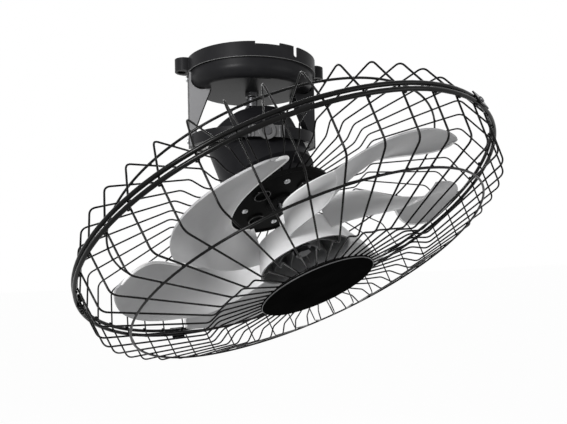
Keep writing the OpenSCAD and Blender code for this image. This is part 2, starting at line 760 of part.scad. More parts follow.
// Two clips that hold the rim rings together, on opposite sides.
module rim_clips() {
    clip_h = rim_pitch + 2 * rim_wire_r + 5;
    color([0.06, 0.06, 0.06]) on_head() around(2, clip_direction) translate([0, 0, -guard_s]) intersection() {
        difference() {
            translate([0, 0, -clip_h / 2]) cylinder(r = guard_r + clip_t + seat, h = clip_h, $fn = smooth);
            translate([0, 0, -clip_h]) cylinder(r = guard_r + seat, h = 2 * clip_h, $fn = smooth);
            translate([guard_r - 5, 0, 0]) rotate([0, 90, 0]) cylinder(r = clip_screw_r + seat, h = 10, $fn = 24);
        }
        translate([guard_r - 20, -clip_w / 2, -clip_h]) cube([40, clip_w, 2 * clip_h]);
    }
}

module clip_screws() {
    color([0.5, 0.5, 0.52]) on_head() around(2, clip_direction) translate([guard_r - 7, 0, -guard_s]) rotate([0, 90, 0])
        screw(clip_screw_r, 7 + seat + clip_t, 3.4, 1.8);
}

// ---- fan wheel ---------------------------------------------------------------

hub_back_s = guard_s - hub_back_d;
hub_front_s = guard_s + hub_front_d;
hub_wall = 2.4;
collar_r = 11;
collar_s0 = plate_s + 26;
hub_floor_s = hub_back_s + 3;
collar_s1 = hub_floor_s + 14;
pin_s = collar_s0 + 8;

// Hub: a flared cup, open to the front, with a collar on the shaft.
module fan_hub() {
    color([0.62, 0.63, 0.65]) on_head() difference() {
        rotate_extrude($fn = smooth) polygon([
            [shaft_r + seat, -collar_s0], [collar_r, -collar_s0], [collar_r + 4, -hub_back_s],
            [hub_back_r, -hub_back_s], [hub_front_r, -hub_front_s], [hub_front_r - hub_wall, -hub_front_s],
            [hub_back_r - hub_wall, -hub_floor_s], [collar_r, -hub_floor_s], [collar_r, -collar_s1],
            [shaft_r + seat, -collar_s1]
        ]);
        translate([-20, 0, -pin_s]) rotate([0, 90, 0]) cylinder(r = 1.6, h = 40, $fn = 24);
    }
}

blade_rows = 12;
blade_cols = 8;
back_corner = 0.02;      // share of the radius that the tip's back corner gives up
front_corner = 0.2;      // share of the radius that the tip's front corner gives up
tip_bulge = 12;          // turn by which the middle of the tip runs ahead
mid_step = 0.01;

function lerp(a, b, f) = a + (b - a) * f;
// Value at f on the curve with four control values.
function bend(v, f) = v[0] * pow(1 - f, 3) + 3 * v[1] * f * pow(1 - f, 2) + 3 * v[2] * f * f * (1 - f) + v[3] * pow(f, 3);
// Radius of the hub's cone at depth s.
function hub_r_at(s) = lerp(hub_back_r, hub_front_r, (s - hub_back_s) / (hub_front_s - hub_back_s));
// Where the blade's middle surface lies: f runs out along the blade, g from its back edge to its front edge.
function blade_angle(f, g) = lerp(bend(blade_back_turn, f), bend(blade_front_turn, f), g) + tip_bulge * 4 * g * (1 - g) * f * f;
function blade_s(f, g) = guard_s + lerp(bend(blade_back_depth, f), bend(blade_front_depth, f), pow(g, 1 + 2 * f * f));
function tip_round(g) = 1 - (g < 0.5 ? back_corner : front_corner) * pow(abs(2 * g - 1), 3);
function blade_radius(f, g) = let (base = max(hub_back_r, hub_r_at(blade_s(0, g))) - 0.5)
    base + (blade_tip_r * tip_round(g) - base) * f;
function blade_mid(f, g) = let (r = blade_radius(f, g), a = blade_angle(f, g)) [r * cos(a), r * sin(a), -blade_s(f, g)];
function blade_normal(f, g) = let (
        out = blade_mid(min(f + mid_step, 1), g) - blade_mid(max(f - mid_step, 0), g),
        across = blade_mid(f, min(g + mid_step, 1)) - blade_mid(f, max(g - mid_step, 0)),
        n = cross(out, across)
    ) n / norm(n);
function blade_point(f, g, side) = blade_mid(f, g) - side * blade_t / 2 * blade_normal(f, g);

// Closed skin over two grids of points, one for each face of the blade.
module blade() {
    nr = blade_rows;
    nc = blade_cols;
    n = (nr + 1) * (nc + 1);
    points = [for (side = [1, -1]) for (i = [0 : nr]) for (j = [0 : nc]) blade_point(i / nr, j / nc, side)];
    at = function (side, i, j) side * n + i * (nc + 1) + j;
    faces = concat(
        [for (i = [0 : nr - 1]) for (j = [0 : nc - 1]) [at(0, i, j), at(0, i + 1, j), at(0, i + 1, j + 1)]],
        [for (i = [0 : nr - 1]) for (j = [0 : nc - 1]) [at(0, i, j), at(0, i + 1, j + 1), at(0, i, j + 1)]],
        [for (i = [0 : nr - 1]) for (j = [0 : nc - 1]) [at(1, i, j), at(1, i + 1, j + 1), at(1, i + 1, j)]],
        [for (i = [0 : nr - 1]) for (j = [0 : nc - 1]) [at(1, i, j), at(1, i, j + 1), at(1, i + 1, j + 1)]],
        [for (i = [0 : nr - 1]) each [[at(0, i, 0), at(1, i, 0), at(1, i + 1, 0)], [at(0, i, 0), at(1, i + 1, 0), at(0, i + 1, 0)]]],
        [for (i = [0 : nr - 1]) each [[at(0, i, nc), at(1, i + 1, nc), at(1, i, nc)], [at(0, i, nc), at(0, i + 1, nc), at(1, i + 1, nc)]]],
        [for (j = [0 : nc - 1]) each [[at(0, 0, j), at(1, 0, j + 1), at(1, 0, j)], [at(0, 0, j), at(0, 0, j + 1), at(1, 0, j + 1)]]],
        [for (j = [0 : nc - 1]) each [[at(0, nr, j), at(1, nr, j), at(1, nr, j + 1)], [at(0, nr, j), at(1, nr, j + 1), at(0, nr, j + 1)]]]
    );
    polyhedron(points = points, faces = faces, convexity = 6);
}

module fan_blades() {
    color([0.55, 0.56, 0.58]) on_head() around(blade_count, blade_phase) blade();
}

module hub_nut() {
    color([0.3, 0.3, 0.31]) on_head() translate([0, 0, -collar_s1 - 9]) difference() {
        union() {
            cylinder(r = 11, h = 9, $fn = 6);
            translate([0, 0, 6]) cylinder(r = 13, h = 3, $fn = round_fn);
        }
        translate([0, 0, 1.5]) cylinder(r = shaft_r + seat, h = 10, $fn = round_fn);
    }
}

module drive_pin() {
    color([0.6, 0.6, 0.62]) on_head() translate([-10, 0, -pin_s]) rotate([0, 90, 0])
        cylinder(r = 1.5, h = 20, $fn = 24);
}

shaft_front = collar_s1 + 6.5;

module rotor_shaft() {
    color([0.72, 0.73, 0.75]) on_head() difference() {
        head_rod(shaft_r, worm_s0, shaft_front);
        translate([-20, 0, -pin_s]) rotate([0, 90, 0]) cylinder(r = 1.5 + seat, h = 40, $fn = 24);
    }
}

module rotor_core() {
    color([0.55, 0.56, 0.58]) on_head() head_tube(rotor_r, shaft_r + seat, stack_s, stack_s + stack_l);
}

worm_r = 7;
worm_s0 = gear_t + 2 - gear_top;
worm_s1 = back_s - 1;

module worm() {
    color([0.75, 0.68, 0.4]) on_head() head_tube(worm_r, shaft_r + seat, worm_s0, worm_s1);
}

wheel_s = (gear_t - gear_top + back_s) / 2;
wheel_r = 5.4;
wheel_t = 5;
wheel_offset = worm_r + wheel_r + body_gap;
cross_r = 2;
cross_l = 36;
pinion_r = (gear_top - gear_t + back_s) / 2 - body_gap;
pinion_t = 4;
pinion_x = 10.5;

module on_cross() {
    on_head() translate([0, wheel_offset, -wheel_s]) rotate([0, 90, 0]) children();
}

module worm_wheel() {
    color([0.85, 0.83, 0.72]) on_cross() translate([0, 0, -wheel_t / 2])
        toothed_wheel(wheel_r, wheel_teeth, 1.2, wheel_t, cross_r + seat);
}

module cross_pinion() {
    color([0.72, 0.6, 0.3]) on_cross() translate([0, 0, pinion_x - pinion_t / 2])
        toothed_wheel(pinion_r, 16, 1, pinion_t, cross_r + seat);
}

module cross_shaft() {
    color([0.7, 0.71, 0.73]) on_cross() translate([0, 0, -cross_l / 2]) cylinder(r = cross_r, h = cross_l, $fn = round_fn);
}

canopy();
mounting_bar();
terminal_block();
run_capacitor();
centre_stud();
stud_nuts();
arm_left();
arm_right();
arm_screws();
cradle_ring();
pivot_plates();
keeper_pins();
orbit_ring();
crank();
crank_gear();
rear_motor_shell();
front_motor_shell();
gearbox_housing();
motor_bolts();
stator_core();
stator_windings();
rear_bearing();
front_bearing();
crank_bush();
grille_plate();
grille_plate_screws();
rear_guard_wires();
rear_rim_ring();
rear_support_ring();
front_guard_wires();
front_rim_ring();
front_support_ring();
front_centre_ring();
badge();
rim_clips();
clip_screws();
worm_wheel();
cross_pinion();
cross_shaft();
rotor_core();
rotor_shaft();
worm();
fan_hub();
fan_blades();
hub_nut();
drive_pin();
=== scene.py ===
"""Orbital ceiling fan: finishes, smooth wires and blades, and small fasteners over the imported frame."""
import json
import math
import bmesh
import bpy
import numpy as np
from mathutils import Matrix, Vector


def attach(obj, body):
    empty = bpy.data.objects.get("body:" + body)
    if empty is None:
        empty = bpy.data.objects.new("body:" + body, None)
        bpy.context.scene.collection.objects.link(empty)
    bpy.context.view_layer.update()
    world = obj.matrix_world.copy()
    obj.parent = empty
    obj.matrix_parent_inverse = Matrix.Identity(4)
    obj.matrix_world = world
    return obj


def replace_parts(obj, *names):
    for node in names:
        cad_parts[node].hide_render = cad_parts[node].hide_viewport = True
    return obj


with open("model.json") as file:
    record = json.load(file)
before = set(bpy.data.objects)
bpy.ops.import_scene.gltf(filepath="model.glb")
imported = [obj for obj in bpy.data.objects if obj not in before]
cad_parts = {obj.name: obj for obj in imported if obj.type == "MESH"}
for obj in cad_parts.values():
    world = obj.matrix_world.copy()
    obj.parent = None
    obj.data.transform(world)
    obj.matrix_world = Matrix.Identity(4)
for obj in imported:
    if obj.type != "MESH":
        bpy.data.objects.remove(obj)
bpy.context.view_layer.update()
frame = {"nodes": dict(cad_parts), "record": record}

MM = 0.001
UP = (0, 0, 1)

# ---- the leaning head's own axes --------------------------------------------------

LEAN = math.radians(32)
LEAN_DIRECTION = math.radians(-63.3)
CRADLE_CENTRE = np.array([0.0, 0.0, -0.112])
UPHILL = np.array([
    math.cos(LEAN) * math.cos(LEAN_DIRECTION), math.cos(LEAN) * math.sin(LEAN_DIRECTION), math.sin(LEAN)])
ACROSS = np.array([-math.sin(LEAN_DIRECTION), math.cos(LEAN_DIRECTION), 0.0])
FAN_AXIS = np.cross(UPHILL, ACROSS)


def on_head(x, y, depth):
    """A point of the fan head in millimetres: depth runs from the cradle centre towards the badge."""
    return CRADLE_CENTRE + MM * (x * UPHILL + y * ACROSS - depth * FAN_AXIS)


def round_head(radius, turn, depth):
    """A point of the fan head at a radius and a turn in degrees round the fan axis."""
    a = math.radians(turn)
    return on_head(radius * math.cos(a), radius * math.sin(a), depth)


def head_out(turn):
    """The direction straight out from the fan axis at a turn."""
    a = math.radians(turn)
    return math.cos(a) * UPHILL + math.sin(a) * ACROSS


# ---- sizes shared with the solids -------------------------------------------------
# Millimetres and degrees. R is a radius, D a distance from the guard's middle, DEPTH a depth from the cradle.
# Each edge of a blade has four control values, from the hub to the tip.

GUARD_R, GUARD_DEPTH = 270, 163.5
WIRE_COUNT, WIRE_R, RIM_WIRE_R, RIM_PITCH = 44, 1.25, 2.25, 7
CORNER_R, CORNER_D = 254.5, 47
STEP_OUT_R, STEP_OUT_D = 144, 74
STEP_IN_R, CENTRE_D = 127, 64.5
WIRE_IN_R, SUPPORT_R, BADGE_R = 56, 223, 74.5
HUB_BACK_R, HUB_FRONT_R, HUB_BACK_D, HUB_FRONT_D = 52, 61, 6, 30
BLADE_COUNT, BLADE_TIP_R, BLADE_T, BLADE_PHASE = 6, 230, 2.2, -105.5
BLADE_BACK_TURN, BLADE_FRONT_TURN = (0, 9, 84, 60), (-11, 5, 22, 17)
BLADE_BACK_D, BLADE_FRONT_D = (-28, -15, -19, 12), (17, 21, 43, 19)
CANOPY_R, CANOPY_H, BAND_H = 90.5, 41, 19
ARM_IN_R, ARM_FLANGE_Y, ARM_FLANGE_T = 87.05, 13, 2.5
FLANGE_REACH, FLANGE_FOOT_W, FLANGE_TOP, FLANGE_LOW = 27, 6, -CANOPY_H - 0.05, -104.1
PLATE_DEPTH = GUARD_DEPTH - CENTRE_D + WIRE_R

# ---- mesh making ------------------------------------------------------------------

START_SIDE = (0.3, 0.5, 0.81)
SHARP_TURN = math.radians(50)
ON_AXIS = 1e-7


def unit(vector):
    """The same direction at length 1."""
    return np.asarray(vector, float) / np.linalg.norm(vector)


def axes_round(axis):
    """An axis at length 1 and two directions across it."""
    axis = unit(axis)
    side = unit(np.cross(axis, START_SIDE))
    return axis, side, np.cross(axis, side)


def circle(centre, side, up, radius, count):
    """Points of a circle that starts at side and turns towards up."""
    turns = [2 * math.pi * k / count for k in range(count)]
    return [centre + radius * (math.cos(a) * side + math.sin(a) * up) for a in turns]


def band(here, there, count):
    """Faces between two rings whose points start at these numbers."""
    return [(here + k, here + (k + 1) % count, there + (k + 1) % count, there + k) for k in range(count)]


def cap(start, count):
    """One face that closes a ring."""
    return tuple(range(start, start + count))


def in_metres(profile):
    """A profile in metres from one in millimetres."""
    return [(radius * MM, height * MM) for radius, height in profile]


def join_shapes(shapes):
    """One list of points and faces from several."""
    points, faces = [], []
    for shape_points, shape_faces in shapes:
        start = len(points)
        points.extend(shape_points)
        faces.extend([tuple(start + i for i in face) for face in shape_faces])
    return points, faces


def make_piece(name, shape, body, slot, finish=None, bevel=0.0, flat=False):
    """A mesh piece that rides on a body. It shows its slot's finish unless another one is named."""
    points, faces = shape
    mesh = bpy.data.meshes.new(name)
    mesh.from_pydata([tuple(p) for p in points], [], faces)
    mesh.validate()
    shell = bmesh.new()
    shell.from_mesh(mesh)
    bmesh.ops.recalc_face_normals(shell, faces=shell.faces)
    shell.to_mesh(mesh)
    shell.free()
    mesh.polygons.foreach_set("use_smooth", [not flat] * len(mesh.polygons))
    mesh.set_sharp_from_angle(angle=SHARP_TURN)
    mesh.materials.append(FINISHES[finish or slot])
    piece = bpy.data.objects.new(name, mesh)
    bpy.context.scene.collection.objects.link(piece)
    if bevel:
        soften = piece.modifiers.new("soft_edges", "BEVEL")
        soften.width = bevel
        soften.segments = 2
        soften.limit_method = "ANGLE"
        soften.angle_limit = SHARP_TURN
    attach(piece, body)
    return piece


def tube(path, radius, sides=12, closed=False):
    """Round stock along a path of points."""
    count = len(path)
    points, faces = [], []
    side = None
    for i in range(count):
        ahead = path[(i + 1) % count] if closed or i < count - 1 else path[i]
        behind = path[i - 1] if closed or i > 0 else path[i]
        along = (ahead - behind) / np.linalg.norm(ahead - behind)
        if side is None:
            side = np.cross(along, START_SIDE)
        side = unit(side - along * side.dot(along))
        points += circle(path[i], side, np.cross(along, side), radius, sides)
    for i in range(count if closed else count - 1):
        faces += band(i * sides, (i + 1) % count * sides, sides)
    if not closed:
        faces += [cap(0, sides)[::-1], cap((count - 1) * sides, sides)]
    return points, faces


def turned(centre, axis, profile, sides=32):
    """A profile of (radius, height) pairs in metres turned round an axis, closed where the radius is 0."""
    axis, side, up = axes_round(axis)
    points, faces, rings = [], [], []
    for radius, height in profile:
        middle = np.asarray(centre, float) + height * axis
        ring = [middle] if radius < ON_AXIS else circle(middle, side, up, radius, sides)
        rings.append((len(points), len(ring)))
        points += ring
    for (low, low_count), (high, high_count) in zip(rings, rings[1:]):
        for k in range(sides):
            n = (k + 1) % sides
            if low_count == 1 < high_count:
                faces.append((low, high + k, high + n))
            elif high_count == 1 < low_count:
                faces.append((low + k, low + n, high))
            elif low_count > 1:
                faces.append((low + k, low + n, high + n, high + k))
    return points, faces


def eased_corner(before, corner, after, trim, steps=7):
    """Points round a corner of a bent wire, on a smooth curve that leaves each side at trim."""
    start = corner + trim * (before - corner) / np.linalg.norm(before - corner)
    end = corner + trim * (after - corner) / np.linalg.norm(after - corner)
    shares = np.linspace(0, 1, steps)
    return [(1 - t) ** 2 * start + 2 * t * (1 - t) * corner + t * t * end for t in shares]


# ---- node making ------------------------------------------------------------------

NUMBER, VECTOR = "NodeSocketFloat", "NodeSocketVector"


def feed(tree, value, entry):
    """Links a socket to an entry, or writes a plain value into it."""
    if isinstance(value, bpy.types.NodeSocket):
        tree.links.new(value, entry)
    elif value is not None:
        entry.default_value = value


def fed_node(tree, kind, **values):
    """A node with its named entries fed: From_Min stands for From Min."""
    node = tree.nodes.new(kind)
    for label, value in values.items():
        feed(tree, value, node.inputs[label.replace("_", " ")])
    return node


def number_step(tree, operation, first, second):
    """One step of arithmetic on numbers."""
    node = tree.nodes.new("ShaderNodeMath")
    node.operation = operation
    feed(tree, first, node.inputs[0])
    feed(tree, second, node.inputs[1])
    return node.outputs["Value"]


def vector_step(tree, operation, first, second=None):
    """One step of arithmetic on vectors."""
    node = tree.nodes.new("ShaderNodeVectorMath")
    node.operation = operation
    feed(tree, first, node.inputs[0])
    feed(tree, second, node.inputs[1])
    return node.outputs["Value" if operation in ("DOT_PRODUCT", "LENGTH") else "Vector"]


def ranged(tree, value, start, end, low=0.0, high=1.0):
    """A value from start to end, spread from low to high."""
    return fed_node(tree, "ShaderNodeMapRange", Value=value, From_Min=start, From_Max=end,
                    To_Min=low, To_Max=high).outputs["Result"]


def noise(tree, scale, detail, roughness=0.5):
    """Noise fixed to the object, as a value round 0.5."""
    return fed_node(tree, "ShaderNodeTexNoise", Vector=own_place(tree), Scale=scale, Detail=detail,
                    Roughness=roughness).outputs["Fac"]


def bumped(tree, height, depth, normal):
    """A normal bumped to a depth."""
    bump = fed_node(tree, "ShaderNodeBump", Height=height, Distance=depth, Normal=normal)
    return bump.outputs["Normal"]


def own_place(tree):
    """The point of the surface, fixed to the object."""
    return tree.nodes.new("ShaderNodeTexCoord").outputs["Object"]


def surface_normal(tree):
    """The way the surface faces."""
    return tree.nodes.new("ShaderNodeNewGeometry").outputs["Normal"]


def round_fan_axis(tree):
    """The direction round the fan axis, as long as the distance from it."""
    from_centre = vector_step(tree, "SUBTRACT", own_place(tree), tuple(CRADLE_CENTRE))
    return vector_step(tree, "CROSS_PRODUCT", from_centre, tuple(FAN_AXIS))


def mixed_colour(tree, factor, first, second):
    """A colour between two, by a factor socket."""
    mix = tree.nodes.new("ShaderNodeMix")
    mix.data_type = "RGBA"
    tree.links.new(factor, mix.inputs["Factor"])
    entries = [entry for entry in mix.inputs if entry.type == "RGBA"]
    for value, entry in zip((first, second), entries):
        feed(tree, value if isinstance(value, bpy.types.NodeSocket) else (*value, 1.0), entry)
    return [result for result in mix.outputs if result.type == "RGBA"][0]


# ---- effects shared by the finishes -----------------------------------------------

LEFT_ARM_X, FRONT = -0.05, (0, -1, 0)


def new_group(name, inputs, outputs):
    """An empty shader node group with named sockets, its given values and its end node."""
    group = bpy.data.node_groups.new(name, "ShaderNodeTree")
    for label, kind, value in inputs:
        socket = group.interface.new_socket(name=label, in_out="INPUT", socket_type=kind)
        if value is not None:
            socket.default_value = value
    for label, kind in outputs:
        group.interface.new_socket(name=label, in_out="OUTPUT", socket_type=kind)
    return group, group.nodes.new("NodeGroupInput").outputs, group.nodes.new("NodeGroupOutput").inputs


def make_fine_grain():
    """Fine orange peel or casting grain: a value round 0.5 and a bumped normal."""
    group, given, result = new_group(
        "fine_grain", [("Size", NUMBER, 900.0), ("Depth", NUMBER, 0.00002), ("Normal", VECTOR, None)],
        [("Value", NUMBER), ("Normal", VECTOR)])
    grain = noise(group, given["Size"], detail=3.0, roughness=0.55)
    feed(group, grain, result["Value"])
    feed(group, bumped(group, grain, given["Depth"], given["Normal"]), result["Normal"])
    return group


def make_edge_wear():
    """Where an edge is sharp, broken up by noise, and the normal with those edges rounded."""
    group, given, result = new_group(
        "edge_wear", [("Radius", NUMBER, 0.0008), ("Breakup", NUMBER, 160.0), ("Amount", NUMBER, 1.0)],
        [("Mask", NUMBER), ("Normal", VECTOR)])
    rounding = fed_node(group, "ShaderNodeBevel", Radius=given["Radius"])
    rounding.samples = 6
    rounded = rounding.outputs["Normal"]
    alike = vector_step(group, "DOT_PRODUCT", rounded, surface_normal(group))
    sharp = ranged(group, alike, start=0.995, end=0.86)
    worn = ranged(group, noise(group, given["Breakup"], detail=4.0), start=0.42, end=0.62)
    both = number_step(group, "MULTIPLY", sharp, worn)
    feed(group, number_step(group, "MULTIPLY", both, given["Amount"]), result["Mask"])
    feed(group, rounded, result["Normal"])
    return group


def make_soft_blotches():
    """Broad, faint unevenness of a surface, as a value from 0 to 1."""
    group, given, result = new_group(
        "soft_blotches", [("Size", NUMBER, 25.0), ("Low", NUMBER, 0.35), ("High", NUMBER, 0.7)],
        [("Value", NUMBER)])
    cloud = noise(group, given["Size"], detail=5.0, roughness=0.6)
    feed(group, ranged(group, cloud, given["Low"], given["High"]), result["Value"])
    return group


def make_stacked_lines():
    """Fine ridges stacked along the fan axis, as left by a lathe, a stack of sheets or wound wire."""
    group, given, result = new_group(
        "stacked_lines",
        [("Pitch", NUMBER, 0.0005), ("Depth", NUMBER, 0.00005), ("Normal", VECTOR, None)],
        [("Value", NUMBER), ("Normal", VECTOR)])
    along = vector_step(group, "DOT_PRODUCT", own_place(group), tuple(FAN_AXIS))
    ridge = number_step(group, "PINGPONG", number_step(group, "DIVIDE", along, given["Pitch"]), 0.5)
    feed(group, ridge, result["Value"])
    feed(group, bumped(group, ridge, given["Depth"], given["Normal"]), result["Normal"])
    return group


def make_near_axis():
    """1 close to the fan axis, falling to 0 further out."""
    group, given, result = new_group(
        "near_axis", [("Near", NUMBER, 0.05), ("Far", NUMBER, 0.15)], [("Mask", NUMBER)])
    distance = vector_step(group, "LENGTH", round_fan_axis(group))
    mask = ranged(group, distance, given["Near"], given["Far"], low=1.0, high=0.0)
    feed(group, mask, result["Mask"])
    return group


def make_cup_inside():
    """1 on faces that don't look out from the fan axis, such as the inside of the hub's cup, where the hub
    paints shade.
    """
    group, _, result = new_group("cup_inside", [], [("Mask", NUMBER)])
    outward = vector_step(group, "CROSS_PRODUCT", tuple(FAN_AXIS), round_fan_axis(group))
    outward = vector_step(group, "NORMALIZE", outward)
    facing = vector_step(group, "DOT_PRODUCT", outward, surface_normal(group))
    feed(group, ranged(group, facing, start=0.45, end=0.25), result["Mask"])
    return group


def make_left_front_painted_light():
    """1 on faces of the left arm that look to the front, where the arm paint paints light as a paler tone."""
    group, _, result = new_group("arm_front_painted_light", [], [("Mask", NUMBER)])
    facing = vector_step(group, "DOT_PRODUCT", surface_normal(group), FRONT)
    front = ranged(group, facing, start=0.6, end=0.8)
    sideways = fed_node(group, "ShaderNodeSeparateXYZ", Vector=own_place(group)).outputs["X"]
    left = number_step(group, "LESS_THAN", sideways, LEFT_ARM_X)
    feed(group, number_step(group, "MULTIPLY", front, left), result["Mask"])
    return group


FINE_GRAIN = make_fine_grain()
EDGE_WEAR = make_edge_wear()
SOFT_BLOTCHES = make_soft_blotches()
STACKED_LINES = make_stacked_lines()
NEAR_AXIS = make_near_axis()
CUP_INSIDE = make_cup_inside()
LEFT_FRONT_PAINTED_LIGHT = make_left_front_painted_light()


def place_group(tree, group, **values):
    """A shared effect placed in a material with its own values."""
    node = tree.nodes.new("ShaderNodeGroup")
    node.node_tree = group
    for label, value in values.items():
        feed(tree, value, node.inputs[label])
    return node.outputs


# ---- finishes ---------------------------------------------------------------------

# The spread of the grain's noise, the reach of the blade roots' painted light, and how deep light goes in
# plastic.
GRAIN_LOW, GRAIN_HIGH = 0.3, 0.7
PAINTED_LIGHT_ROOT_R, PAINTED_LIGHT_ROOT_END_R = 0.055, 0.17
PLASTIC_DEPTH = 0.004


def make_finish(name, colour, second, worn, rough, grain, wear, wear_radius=0.0008, metallic=0.0,
                specular=0.5, blotch=25, lines=None, translucent=0.0, painted_light_root=None, painted_shade_inside=None,
                painted_light_side=None):
    """A finish with two close tones, worn edges, fine grain, and roughness between two values."""
    finish = bpy.data.materials.new(name)
    finish.use_nodes = True
    tree = finish.node_tree
    shader = tree.nodes["Principled BSDF"].inputs
    edges = place_group(tree, EDGE_WEAR, Radius=wear_radius, Amount=wear)
    peel = place_group(tree, FINE_GRAIN, Size=grain[0], Depth=grain[1], Normal=edges["Normal"])
    normal = peel["Normal"]
    tone = mixed_colour(tree, place_group(tree, SOFT_BLOTCHES, Size=blotch)["Value"], colour, second)
    if lines:
        ridges = place_group(tree, STACKED_LINES, Pitch=lines[0], Depth=lines[1], Normal=normal)
        normal = ridges["Normal"]
        ridge_share = ranged(tree, ridges["Value"], start=0.0, end=0.5, high=0.5)
        tone = mixed_colour(tree, ridge_share, second, tone)
    # Where asked, the tone is painted paler close to the fan axis: painted light.
    if painted_light_root:
        near = place_group(tree, NEAR_AXIS, Near=PAINTED_LIGHT_ROOT_R, Far=PAINTED_LIGHT_ROOT_END_R)
        tone = mixed_colour(tree, near["Mask"], tone, painted_light_root)
    # Where asked, faces turned in from the fan axis are painted darker: painted shade.
    if painted_shade_inside:
        tone = mixed_colour(tree, place_group(tree, CUP_INSIDE)["Mask"], tone, painted_shade_inside)
    # Where asked, the left arm's front faces take a paler tone: painted light.
    if painted_light_side:
        tone = mixed_colour(tree, place_group(tree, LEFT_FRONT_PAINTED_LIGHT)["Mask"], tone, painted_light_side)
    feed(tree, mixed_colour(tree, edges["Mask"], tone, worn), shader["Base Color"])
    feed(tree, ranged(tree, peel["Value"], GRAIN_LOW, GRAIN_HIGH, *rough), shader["Roughness"])
    feed(tree, normal, shader["Normal"])
    shader["Metallic"].default_value = metallic
    shader["Specular IOR Level"].default_value = specular
    if translucent:
        shader["Subsurface Weight"].default_value = translucent
        shader["Subsurface Radius"].default_value = (1.0, 1.0, 1.0)
        shader["Subsurface Scale"].default_value = PLASTIC_DEPTH
    return finish


